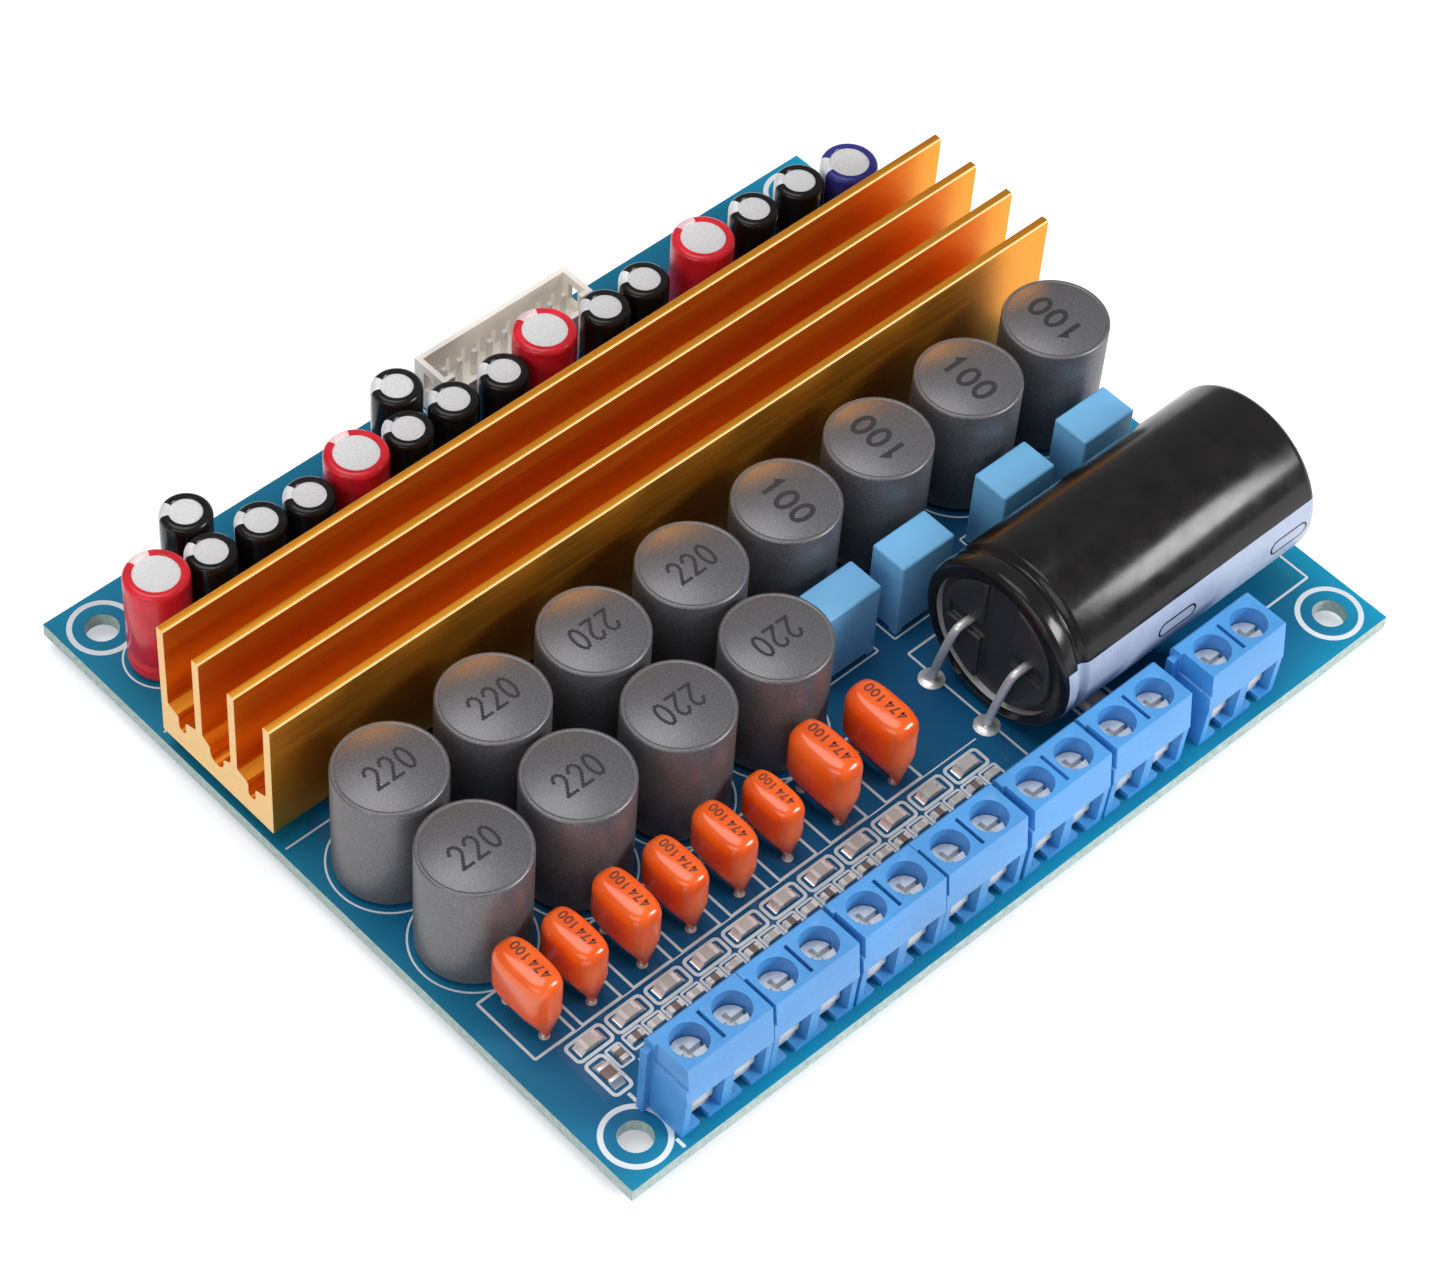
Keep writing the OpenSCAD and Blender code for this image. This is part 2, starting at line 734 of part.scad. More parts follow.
// Aluminium cans with the seat of the rubber bung in the foot
module cans(sites, d, top) {
    shell = sleeve_t + sleeve_gap;
    r = d / 2 - shell;
    foot = can_lift + shell;
    for (s = sites)
        translate([s[0], s[1], board_t])
            rotate_extrude()
                difference() {
                    polygon(can_outline(r, foot, top - shell, can_lift + crimp_z));
                    square([r - 0.4, foot + bung_h - 0.1]);
                }
}

// Outline of the main can along its axis from the lead end, as [radius, distance]
function main_outline(r, near, far) = [
    [0, near],
    [r - 1.2, near],
    [r - 0.5, near + 0.12],
    [r - 0.12, near + 0.45],
    [r, near + 0.9],
    [r, bead_x - 0.8],
    [r - bead_depth, bead_x - 0.15],
    [r - bead_depth, bead_x + 0.15],
    [r, bead_x + 0.8],
    [r, far - 1.2],
    [r - 0.2, far - 0.55],
    [r - 0.6, far - 0.15],
    [r - 1.2, far],
    [0, far]
];

// Places a shape revolved about Z so that Z becomes the main capacitor's axis
module along_main_axis() {
    translate([main_x, main_y, main_axis_z])
        rotate([0, 90, 0])
            children();
}

module main_sleeve() {
    r = main_d / 2;
    t = main_sleeve_t;
    color("#141417")
        along_main_axis()
            rotate_extrude($fn = 96)
                difference() {
                    polygon(main_outline(r, 0, main_l));
                    polygon(main_outline(r - t, t, main_l - t));
                    translate([0, -1])
                        square([r - main_lip_w, main_l + 2]);
                }
}

module main_can() {
    shell = main_sleeve_t + sleeve_gap;
    along_main_axis()
        rotate_extrude($fn = 96)
            difference() {
                polygon(main_outline(main_can_d / 2, shell, main_l - shell));
                square([plug_d / 2, plug_inset + plug_t]);
            }
}

module capacitor_cans() {
    color("#c9ccd0") {
        cans(red_sites, red_d, red_top);
        cans(black_sites, black_d, black_top);
        cans(blue_sites, blue_d, blue_top);
        main_can();
    }
}

// Rubber bungs in the feet of the upright cans
module bungs(sites, d) {
    r = d / 2 - sleeve_t - sleeve_gap - 0.4;
    foot = can_lift + sleeve_t + sleeve_gap - 0.1;
    for (s = sites)
        translate([s[0], s[1], board_t + foot])
            cylinder(r = r - sleeve_gap, h = bung_h);
}

module capacitor_bungs() {
    color("#26241f") {
        bungs(red_sites, red_d);
        bungs(black_sites, black_d);
        bungs(blue_sites, blue_d);
    }
}

// Plug of the main capacitor: two raised blocks, each split beside its lead
module main_plug() {
    block_r = plug_d / 2 - 0.7;
    face_x = main_x + plug_inset;
    color("#1b1b1d") {
        along_main_axis()
            translate([0, 0, plug_inset])
                cylinder(d = plug_d - 2 * sleeve_gap, h = plug_t);
        difference() {
            along_main_axis()
                translate([0, 0, plug_inset - plug_block_h])
                    cylinder(r = block_r, h = plug_block_h);
            translate([face_x - 2, main_y - plug_middle, main_axis_z - main_d / 2])
                cube([2, 2 * plug_middle, main_d]);
            for (side = [-1, 1])
                translate([face_x - 2, main_y + side * main_pitch / 2 - 2.4, main_axis_z - 1])
                    cube([2, 4.8, 2]);
        }
    }
}

module main_lead(side) {
    y = main_y + side * main_pitch / 2;
    exit = [main_x + plug_inset, y, main_axis_z];
    knee = [main_x - 0.3, y, main_axis_z];
    elbow = [main_pad_x + 0.25, y + 0.15 * main_lead_lean, main_axis_z - 1.1];
    foot = [main_pad_x, y + main_lead_lean, board_t + 0.3];
    bar(exit, knee, main_lead_d);
    bar(knee, elbow, main_lead_d);
    bar(elbow, foot, main_lead_d);
    for (p = [knee, elbow, foot])
        translate(p)
            sphere(d = main_lead_d);
    lead([foot[0], foot[1]], main_lead_d, 0.3);
}

module main_leads() {
    color("#c4c6c8") {
        main_lead(-1);
        main_lead(1);
    }
}

module component_leads() {
    bung_foot = can_lift + sleeve_t + sleeve_gap - 0.1;
    color("#c4c6c8") {
        for (s = coil_holes)
            lead(s, coil_pin_d, 0);
        for (s = pair_y(dip_sites, film_pitch))
            lead(s, film_lead_d, 0.3);
        for (s = pair_x(box_sites, film_pitch))
            lead(s, film_lead_d, box_foot_h);
        for (s = can_holes)
            lead(s, can_lead_d, bung_foot);
    }
}

// Shrouded header: high back wall with a slot at each pin, low front wall, windowed ends
module header_housing() {
    inner_l = header_l - 2 * header_wall;
    inner_d = header_d - 2 * header_wall;
    hole_t = header_pin_t + 2 * header_pin_clear;
    color("#e9dfcb")
        translate([header_x, header_y, board_t])
            difference() {
                translate([-header_l / 2, -header_d / 2, 0])
                    cube([header_l, header_d, header_h]);
                translate([-inner_l / 2, -inner_d / 2, header_floor])
                    cube([inner_l, inner_d, header_h]);
                translate([-inner_l / 2 + 0.9, -header_d, header_front_h])
                    cube([inner_l - 1.8, header_d, header_h]);
                translate([-header_l, -0.6, header_floor + 1])
                    cube([2 * header_l, 1.4, header_h - header_floor - 2]);
                for (s = header_pin_sites)
                    translate([s[0] - header_x, 0, 0]) {
                        translate([-header_slot_w / 2, 0, header_floor])
                            cube([header_slot_w, header_d, 2.2]);
                        translate([0, 0, header_floor / 2])
                            cube([hole_t, hole_t, header_floor + 1], center = true);
                    }
            }
}

module header_pins() {
    color("#c9cbcd")
        for (s = header_pin_sites) {
            translate([s[0], s[1], (board_t + header_pin_h - pin_tail_l) / 2])
                cube([header_pin_t, header_pin_t, board_t + header_pin_h + pin_tail_l], center = true);
            translate([s[0], s[1], -solder_h])
                cylinder(d1 = header_pin_d + 0.1, d2 = header_pin_d + 2 * solder_w, h = solder_h);
        }
}

// Side view of a terminal block, Y across and Z up
block_profile = [
    [-block_foot, 0],
    [-block_front - nose_out + 0.1, nose_z - 0.3],
    [-block_front - nose_out, nose_z],
    [-block_front, block_h],
    [block_back - 0.3, block_h],
    [block_back, block_h - 0.4],
    [block_back, 0]
];

// The space inside a block for one pole
module pole_cavity() {
    translate([-chamber_w / 2, -bore_d / 2, floor_t])
        cube([chamber_w, bore_d / 2 + strip_y, head_z - floor_t]);
    translate([-channel_w / 2, 0, floor_t])
        cube([channel_w, strip_back + slide_gap, contact_top_z + slide_gap - floor_t]);
    translate([-chamber_w / 2, -2 * block_foot, floor_t])
        cube([chamber_w, 2 * block_foot, nose_z - floor_t]);
    translate([-floor_slot_w / 2, -2 * block_foot, -1])
        cube([floor_slot_w, 2 * block_foot + 0.8, floor_t + 2]);
    translate([0, 0, head_z - 0.1])
        cylinder(d = bore_d, h = block_h);
    translate([-pin_w / 2 - strip_clear, strip_y - strip_clear, -1])
        cube([pin_w + 2 * strip_clear, strip_t + 2 * strip_clear, floor_t + 2]);
}

// A two-pole terminal block with a joining rib on its left and a groove on its right
module terminal_block(x) {
    color("#2f7fd6")
        translate([x, terminal_y, board_t])
            difference() {
                union() {
                    translate([-block_w / 2, 0, 0])
                        rotate([90, 0, 90])
                            linear_extrude(block_w)
                                polygon(block_profile);
                    translate([-block_w / 2, rib_y, 0])
                        linear_extrude(block_h - rib_drop)
                            polygon([
                                [0.1, -rib_neck / 2],
                                [0, -rib_neck / 2],
                                [-rib_out, -rib_w / 2],
                                [-rib_out, rib_w / 2],
                                [0, rib_neck / 2],
                                [0.1, rib_neck / 2]
                            ]);
                }
                translate([block_w / 2 - rib_out - rib_clear, rib_y - rib_w / 2 - rib_clear, -1])
                    cube([rib_out + rib_clear + 1, rib_w + 2 * rib_clear, 1 + block_h - rib_drop + rib_clear]);
                translate([-block_w / 2 - 1, rib_end_y - block_back - 3, end_step_z])
                    cube([1 + end_step, block_back + 3, block_h]);
                translate([-pole_slot_w / 2, -pole_slot_l / 2, block_h - pole_slot_depth])
                    cube([pole_slot_w, pole_slot_l, block_h]);
                for (side = [-1, 1])
                    translate([side * pole_pitch / 2, 0, 0])
                        pole_cavity();
            }
}

module power_terminal() {
    terminal_block(block_x[speaker_blocks]);
}

// Side view of a contact, Y across and Z up: a foot on the floor, the back, and the threaded top
contact_profile = [
    [-clamp_front + clamp_t / 2, contact_z],
    [strip_back, contact_z],
    [strip_back, contact_top_z],
    [-nut_front, contact_top_z],
    [-nut_front, nut_z],
    [strip_y, nut_z],
    [strip_y, seat_z],
    [-clamp_front + clamp_t / 2, seat_z]
];

// Contacts bent round the wire space, each with a soldered pin
module terminal_contacts() {
    color("#c6c8ca")
        for (x = pole_x)
            translate([x, terminal_y, board_t])
                difference() {
                    union() {
                        translate([-strip_w / 2, 0, 0])
                            rotate([90, 0, 90])
                                linear_extrude(strip_w)
                                    polygon(contact_profile);
                        translate([-nut_w / 2, -nut_front, nut_z])
                            cube([nut_w, nut_front + clamp_back, nut_t]);
                        translate([-foot_w / 2, -clamp_front + clamp_t / 2, contact_z])
                            cube([foot_w, clamp_front - clamp_t / 2 + clamp_back, strip_t]);
                        translate([-pin_w / 2, strip_y, -board_t - pin_tail_l])
                            cube([pin_w, strip_t, board_t + pin_tail_l + seat_z]);
                        translate([0, pin_y, -board_t - solder_h])
                            cylinder(d1 = contact_pin_d + 0.1, d2 = contact_pin_d + 2 * solder_w, h = solder_h);
                    }
                    translate([0, 0, nut_z - 1])
                        cylinder(d = screw_hole_d, h = nut_t + 2);
                }
}

// A clamp plate, closed: a pad under the screw tip with its front bent up
module wire_clamp(x) {
    bend = 1.5 * clamp_t;
    color("#cfd2d5")
        translate([x - clamp_w / 2, terminal_y - clamp_front, board_t + clamp_z])
            rotate([90, 0, 90])
                linear_extrude(clamp_w)
                    difference() {
                        square([clamp_front + clamp_back, clamp_h]);
                        difference() {
                            translate([-1, -1])
                                square(1 + bend);
                            translate([bend, bend])
                                circle(r = bend);
                        }
                        translate([bend, bend])
                            circle(r = bend - clamp_t);
                        translate([bend, clamp_t])
                            square([clamp_front + clamp_back, clamp_h]);
                        translate([clamp_t, bend])
                            square([clamp_front + clamp_back, clamp_h]);
                    }
}

// A clamp screw with a slot and a shorter cross arm in its head
module terminal_screw(x) {
    color("#b4b7bb")
        translate([x, terminal_y, board_t])
            difference() {
                union() {
                    translate([0, 0, screw_tip_z])
                        cylinder(d = screw_d, h = head_z - screw_tip_z);
                    translate([0, 0, head_z])
                        cylinder(d = head_d, h = head_h);
                }
                translate([-head_d, -driver_w / 2, head_z + head_h - driver_depth])
                    cube([2 * head_d, driver_w, 2 * driver_depth]);
                translate([-driver_w / 2, -driver_cross_l / 2, head_z + head_h - driver_depth])
                    cube([driver_w, driver_cross_l, 2 * driver_depth]);
            }
}

// Turns a shape onto a chip site
module on_site(site) {
    translate([site[0], site[1], board_t])
        rotate([0, 0, site[2] * 90])
            children();
}

// Bodies of chip parts between their soldered ends
module chip_bodies(sites, l, w, h) {
    for (s = sites)
        on_site(s)
            translate([-l / 2, -w / 2, 0])
                cube([l, w, h]);
}

module chip_capacitors() {
    color("#b9a48c") {
        chip_bodies(large_sites, large_l - 2 * chip_end, large_w, large_h);
        chip_bodies(capacitor_sites, small_l - 2 * chip_end, small_w, small_h);
    }
}

module chip_resistors() {
    color("#232325")
        chip_bodies(resistor_sites, small_l - 2 * chip_end, small_w, small_h);
}

// Soldered ends of chip parts, touching the bodies
module soldered_ends(sites, body_l, w, h) {
    for (s = sites, side = [-1, 1])
        on_site(s)
            translate([side * (body_l + chip_end) / 2, 0, h / 2])
                cube([chip_end, w, h], center = true);
}

module chip_ends() {
    color("#d5d7d9") {
        soldered_ends(large_sites, large_l - 2 * chip_end, large_w, large_h);
        soldered_ends(small_sites, small_l - 2 * chip_end, small_w, small_h);
    }
}

circuit_board();
heatsink();
amplifier_chips();
thermal_pads();
heatsink_screws();
inductors_220();
inductors_100();
dipped_capacitors();
box_capacitors();
red_sleeves();
black_sleeves();
blue_sleeve();
capacitor_cans();
capacitor_bungs();
main_sleeve();
main_plug();
main_leads();
component_leads();
header_housing();
header_pins();
terminal_contacts();
chip_capacitors();
chip_resistors();
chip_ends();
power_terminal();
for (i = [0:speaker_blocks - 1])
    terminal_block(block_x[i]);
for (i = [0:poles - 1])
    terminal_screw(pole_x[i]);
for (i = [0:poles - 1])
    wire_clamp(pole_x[i]);
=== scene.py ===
"""Audio amplifier board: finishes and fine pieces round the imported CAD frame.

Shapes are worked out in millimetres in the frame of the board (origin under the middle of the board,
X along the terminals, Y to the header, Z up) and turned into metres when a mesh is made.
"""

import math

import bmesh
import bpy
import numpy as np
from mathutils import Matrix


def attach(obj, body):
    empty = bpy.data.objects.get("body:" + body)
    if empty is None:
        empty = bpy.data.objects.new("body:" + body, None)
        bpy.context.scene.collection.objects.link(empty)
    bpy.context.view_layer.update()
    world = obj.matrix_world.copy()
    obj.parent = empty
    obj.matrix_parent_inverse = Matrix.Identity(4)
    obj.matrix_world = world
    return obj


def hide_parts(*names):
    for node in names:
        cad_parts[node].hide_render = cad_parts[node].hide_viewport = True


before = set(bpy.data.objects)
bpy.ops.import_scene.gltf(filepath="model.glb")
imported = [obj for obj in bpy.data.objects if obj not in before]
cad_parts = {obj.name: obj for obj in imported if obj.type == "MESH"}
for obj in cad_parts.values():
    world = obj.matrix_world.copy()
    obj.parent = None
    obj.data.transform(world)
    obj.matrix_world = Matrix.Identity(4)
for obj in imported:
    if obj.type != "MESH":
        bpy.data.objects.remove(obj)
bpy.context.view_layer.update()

MM = 0.001
TURN = 2 * math.pi
SHARP = 40


def in_row(xs, y):
    """Places in a row: each x at the same y."""
    return np.stack([xs, np.full(len(xs), y)], -1)


# Sizes and places on the board
BOARD_X, BOARD_Y, BOARD_TOP = 50.0, 42.0, 1.6
MOUNT_X, MOUNT_Y = 46.0, 38.0
PRINT_T = 0.02
LAYERS, LAYER_STEP = 12, PRINT_T / 20
FLOOR_Z = -1.62
COIL_R, COIL_H = 5.45, 14.0
COIL_X = -42.9 + 12.3 * np.arange(8)
COIL_SITES = np.concatenate([in_row(COIL_X, -1.0), in_row(COIL_X[:4], -12.6)])
COILS_100 = COIL_SITES[4:8]
COILS_220 = np.delete(COIL_SITES, slice(4, 8), 0)
DIP_SITES = in_row([-45, -39.35, -33.15, -27.15, -21.05, -14.9, -8.35, -1.1], -22.25)
DIP_SIZE = np.array([1.03, 0.98, 1.02, 0.98, 0.98, 0.92, 1.1, 1.1])
DIP_H = 8.5
BOX_SITES = in_row([5.05, 14.9, 28.75, 40.0], -10.1)
RED_SITES = np.array([[-43.9, 31.4], [-20.05, 31], [4.45, 31.5], [25.1, 30.8]])
BLACK_SITES = np.array([
    [-36.55, 36.35], [-37.8, 30.95], [-31.8, 30.95], [-26.3, 30.45],
    [-10.9, 35.85], [-13.65, 30.9], [-7.8, 31], [-1.6, 30.65],
    [11.8, 30.7], [17.35, 31.05], [32.6, 31.2], [38.95, 31.15],
])
BLUE_SITES = np.array([[44.8, 29.8]])
MAIN_X, MAIN_Y, MAIN_Z = 11.6, -24.1, BOARD_TOP + 9.4
MAIN_R, MAIN_L = 9.2, 35.4
SINK_Y, SINK_Z = 15.2, BOARD_TOP + 2.0
SINK_L, SINK_H = 100.0, 15.0
LARGE_SITES = np.append(in_row(-42.55 + 4.79 * np.arange(11), -28.05), [[20.25, -30.35]], 0)
SMALL_SITES = in_row(-38.92 + 2.395 * np.arange(20), -30.35)
CROSS_SITE = np.array([[-41.315, -30.75]])
CORNER_SITE = np.array([[-43.5, -31.7]])
BLOCK_X = np.array([-37.86, -27.31, -16.38, -5.85, 5.23, 16.12, 29.23])


# Mesh helpers

def grid_quads(rows, columns, wrap_rows=False, wrap_columns=False):
    """Quads of a grid of points numbered row by row; a wrapped way joins its last line to its first."""
    i, j = np.meshgrid(
        np.arange(rows if wrap_rows else rows - 1),
        np.arange(columns if wrap_columns else columns - 1),
        indexing="ij",
    )
    below = (i + 1) % rows * columns
    beside = (j + 1) % columns
    return np.stack([i * columns + j, i * columns + beside, below + beside, below + j], -1).reshape(-1, 4)


def turned(profile, segments=48, closed=False):
    """Surface of revolution: (r cos a, r sin a, z) for each profile point (r, z) and angle a of a turn."""
    r, z = np.asarray(profile, float).T[:, :, None]
    angle = np.linspace(0, TURN, segments + 1)
    points = np.stack([r * np.cos(angle), r * np.sin(angle), z + 0 * angle], -1)
    return points.reshape(-1, 3), [grid_quads(len(r), segments + 1, wrap_rows=closed)]


def prism(outline, length):
    """An outline in (y, z), anticlockwise from +X, carried along X from 0 to length, with closed ends."""
    outline = np.asarray(outline, float)
    count = len(outline)
    points = np.concatenate([np.insert(outline, 0, x, 1) for x in (length, 0.0)])
    ends = np.stack([np.arange(count), np.arange(2 * count - 1, count - 1, -1)])
    return points, [grid_quads(2, count, wrap_columns=True), ends]


def rounded_box(size, radius, steps=4):
    """Rounded box: corner + radius * unit normal, over a grid of normals that turns at each corner."""
    half = np.asarray(size, float) / 2 - radius
    quarter = np.linspace(0, math.pi / 2, steps)
    rise = np.concatenate([quarter - math.pi / 2, quarter])[:, None]
    up = np.repeat([-1.0, 1.0], steps)[:, None]
    spin = (np.arange(4)[:, None] * math.pi / 2 + quarter).ravel()
    side_x = np.repeat([1.0, -1.0, -1.0, 1.0], steps)
    side_y = np.repeat([1.0, 1.0, -1.0, -1.0], steps)
    points = np.stack([
        side_x * half[0] + radius * np.cos(rise) * np.cos(spin),
        side_y * half[1] + radius * np.cos(rise) * np.sin(spin),
        up * half[2] + radius * np.sin(rise) + 0 * spin,
    ], -1)
    rows, columns = 2 * steps, 4 * steps
    corners = np.arange(0, columns, steps)
    caps = np.stack([corners[::-1], (rows - 1) * columns + corners])
    return points.reshape(-1, 3), [grid_quads(rows, columns, wrap_columns=True), caps]


def smooth_path(points, rounds=3):
    """Corner cutting: each pass puts points at 1/4 and 3/4 of every leg, to near a quadratic spline."""
    path = np.asarray(points, float)
    for _ in range(rounds):
        near = 0.75 * path[:-1] + 0.25 * path[1:]
        far = 0.25 * path[:-1] + 0.75 * path[1:]
        middle = np.stack([near, far], 1).reshape(-1, path.shape[1])
        path = np.concatenate([path[:1], middle, path[-1:]])
    return path


def tube(path, radius, segments=14):
    """A circle along a path: point + radius * (side cos a + lift sin a), side square to the path and Y."""
    path = np.asarray(path, float)
    way = np.gradient(path, axis=0)
    way /= np.linalg.norm(way, axis=1, keepdims=True)
    side = np.cross([0.0, 1.0, 0.0], way)
    side /= np.linalg.norm(side, axis=1, keepdims=True)
    lift = np.cross(way, side)
    angle = np.linspace(0, TURN, segments, endpoint=False)[:, None]
    ring = np.cos(angle) * side[:, None] + np.sin(angle) * lift[:, None]
    radius = np.broadcast_to(radius, len(path))[:, None, None]
    points = (path[:, None] + radius * ring).reshape(-1, 3)
    last = np.arange(segments) + (len(path) - 1) * segments
    ends = np.stack([np.arange(segments)[::-1], last])
    return points, [grid_quads(len(path), segments, wrap_columns=True), ends]


def strip(path, width, low, high, closed=False):
    """A flat bar of the given width along a path in the plane, with mitred corners, from low to high in Z."""
    path = np.asarray(path, float)
    before = path - np.roll(path, 1, 0)
    after = np.roll(path, -1, 0) - path
    if not closed:
        before[0], after[-1] = after[0], before[-1]
    before = before / np.linalg.norm(before, axis=1, keepdims=True)
    after = after / np.linalg.norm(after, axis=1, keepdims=True)
    left = np.stack([-before[:, 1] - after[:, 1], before[:, 0] + after[:, 0]], -1)
    left /= np.maximum((left ** 2).sum(1, keepdims=True) / 2, 0.3)
    rims = np.stack([path - left * width / 2, path + left * width / 2], 1)
    right_low, left_low = (np.insert(rims[:, k], 2, low, 1) for k in (0, 1))
    left_high, right_high = (np.insert(rims[:, k], 2, high, 1) for k in (1, 0))
    points = np.stack([right_low, left_low, left_high, right_high], 1).reshape(-1, 3)
    faces = [grid_quads(len(path), 4, wrap_rows=closed, wrap_columns=True)]
    if not closed:
        faces.append(np.array([[3, 2, 1, 0], np.arange(4) + 4 * (len(path) - 1)]))
    return points, faces


def arc(centre, radius, start=0.0, end=360.0, count=48):
    """Points on a circle from start to end degrees; a whole circle leaves out its repeated last point."""
    angle = np.radians(np.linspace(start, end, count, endpoint=end - start < 360))
    return np.asarray(centre) + radius * np.stack([np.cos(angle), np.sin(angle)], -1)


def rounded_frame(centre, width, height, radius, steps=5):
    """A rectangle with round corners: four quarter circles joined by straight sides."""
    reach = np.array([width, height]) / 2 - radius
    corners = np.asarray(centre) + reach * [[1, 1], [-1, 1], [-1, -1], [1, -1]]
    return np.concatenate([
        arc(corner, radius, 90 * k, 90 * k + 90, steps) for k, corner in enumerate(corners)
    ])


def copies(shape, places, turns=0.0, sizes=1.0):
    """The shape at each place, scaled by the place's own size and turned about Z by its own degrees."""
    points, faces = shape
    places = np.asarray(places, float)
    if places.shape[1] == 2:
        places = np.insert(places, 2, 0.0, 1)
    angle = np.radians(np.broadcast_to(turns, len(places)))[:, None]
    size = np.broadcast_to(sizes, len(places))[:, None]
    x = size * (points[:, 0] * np.cos(angle) - points[:, 1] * np.sin(angle))
    y = size * (points[:, 0] * np.sin(angle) + points[:, 1] * np.cos(angle))
    spread = np.stack([x, y, size * points[:, 2]], -1) + places[:, None]
    step = np.arange(len(places))[:, None, None] * len(points)
    return spread.reshape(-1, 3), [(f + step).reshape(-1, f.shape[1]) for f in faces]


def moved(shape, offset):
    """The shape carried by an offset."""
    return shape[0] + np.asarray(offset, float), shape[1]


def put(name, parts, materials, body="board", replaces=(), sharp=SHARP):
    """One object from (shape, tone) parts, where tone is a material number or one number per face."""
    start = 0
    points, faces, tones = [], [], []
    for (shape_points, blocks), tone in parts:
        count = sum(len(b) for b in blocks)
        tones.append(np.broadcast_to(tone, count))
        for block in blocks:
            faces.extend((block + start).tolist())
        points.append(shape_points)
        start += len(shape_points)
    mesh = bpy.data.meshes.new(name)
    mesh.from_pydata((np.concatenate(points) * MM).tolist(), [], faces)
    mesh.polygons.foreach_set("material_index", np.concatenate(tones).astype(np.int32))
    for material in materials:
        mesh.materials.append(material)
    return finish_piece(name, mesh, body, replaces, sharp)


def finish_piece(name, mesh, body, replaces, sharp):
    """Closes seams and poles, shades the mesh smooth up to the sharp angle and rides it on its body."""
    work = bmesh.new()
    work.from_mesh(mesh)
    bmesh.ops.remove_doubles(work, verts=work.verts, dist=2e-7)
    bmesh.ops.dissolve_degenerate(work, edges=work.edges, dist=1e-8)
    work.to_mesh(mesh)
    work.free()
    mesh.polygons.foreach_set("use_smooth", np.ones(len(mesh.polygons), bool))
    mesh.set_sharp_from_angle(angle=math.radians(sharp))
    piece = bpy.data.objects.new(name, mesh)
    bpy.context.scene.collection.objects.link(piece)
    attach(piece, body)
    if replaces:
        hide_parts(*replaces)
    return piece


def eased(node, material, body, width):
    """A copy of a moulded or pressed CAD part with its edges eased by a bevel of the given width."""
    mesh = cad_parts[node].data.copy()
    mesh.materials.clear()
    mesh.materials.append(material)
    work = bmesh.new()
    work.from_mesh(mesh)
    bmesh.ops.remove_doubles(work, verts=work.verts, dist=1e-6)
    bmesh.ops.dissolve_limit(work, angle_limit=math.radians(1), verts=work.verts, edges=work.edges)
    work.to_mesh(mesh)
    work.free()
    piece = finish_piece(node + "_eased", mesh, body, (node,), SHARP)
    bevel = piece.modifiers.new("eased_edges", "BEVEL")
    bevel.width = width * MM
    bevel.segments = 2
    bevel.limit_method = "ANGLE"
    bevel.angle_limit = math.radians(SHARP)
    bevel.use_clamp_overlap = True
    bevel.harden_normals = False
    return piece


# Finishes

def finish(name, colour, roughness, metallic=0.0, coat=0.0, specular=0.5):
    """A new material and its node tree: one Principled shader with plain values on its own sockets."""
    material = bpy.data.materials.new(name)
    material.use_nodes = True
    shader = material.node_tree.nodes["Principled BSDF"]
    shader.inputs["Base Color"].default_value = (*colour, 1)
    shader.inputs["Roughness"].default_value = roughness
    shader.inputs["Metallic"].default_value = metallic
    shader.inputs["Coat Weight"].default_value = coat
    shader.inputs["Coat Roughness"].default_value = 0.06
    shader.inputs["Specular IOR Level"].default_value = specular
    return material


def add(material, kind, **values):
    """A node of the material's tree with its named properties and inputs set."""
    node = material.node_tree.nodes.new(kind)
    for key, value in values.items():
        if hasattr(node, key):
            setattr(node, key, value)
        else:
            node.inputs[key.replace("_", " ")].default_value = value
    return node


def wire(material, source, target):
    """Joins an output socket to an input socket."""
    material.node_tree.links.new(source, target)


def shader_of(material):
    """The Principled shader of a material."""
    return material.node_tree.nodes["Principled BSDF"]


def scaled_coords(material, scale, shift=(0, 0, 0)):
    """Object coordinates in metres, scaled per axis and then shifted."""
    coords = add(material, "ShaderNodeTexCoord")
    mapping = add(material, "ShaderNodeMapping")
    mapping.inputs["Scale"].default_value = scale
    mapping.inputs["Location"].default_value = shift
    wire(material, coords.outputs["Object"], mapping.inputs["Vector"])
    return mapping.outputs["Vector"]


def noise(material, scale, detail=3.0, roughness=0.55, stretch=(1, 1, 1)):
    """Fractal noise over Object coordinates; scale is in waves per metre."""
    node = add(material, "ShaderNodeTexNoise")
    node.inputs["Scale"].default_value = scale
    node.inputs["Detail"].default_value = detail
    node.inputs["Roughness"].default_value = roughness
    wire(material, scaled_coords(material, stretch), node.inputs["Vector"])
    return node.outputs["Fac"]


def ramp(material, source, stops):
    """Colour ramp over a value; stops are (place, colour)."""
    node = add(material, "ShaderNodeValToRGB")
    band = node.color_ramp
    while len(band.elements) < len(stops):
        band.elements.new(0.5)
    for element, (place, colour) in zip(band.elements, stops):
        element.position = place
        element.color = (*colour, 1)
    wire(material, source, node.inputs["Fac"])
    return node.outputs["Color"]


def span(material, source, low, high, out_low, out_high):
    """A value taken from one range to another."""
    node = add(material, "ShaderNodeMapRange")
    for key, value in zip(("From Min", "From Max", "To Min", "To Max"), (low, high, out_low, out_high)):
        node.inputs[key].default_value = value
    wire(material, source, node.inputs["Value"])
    return node.outputs["Result"]


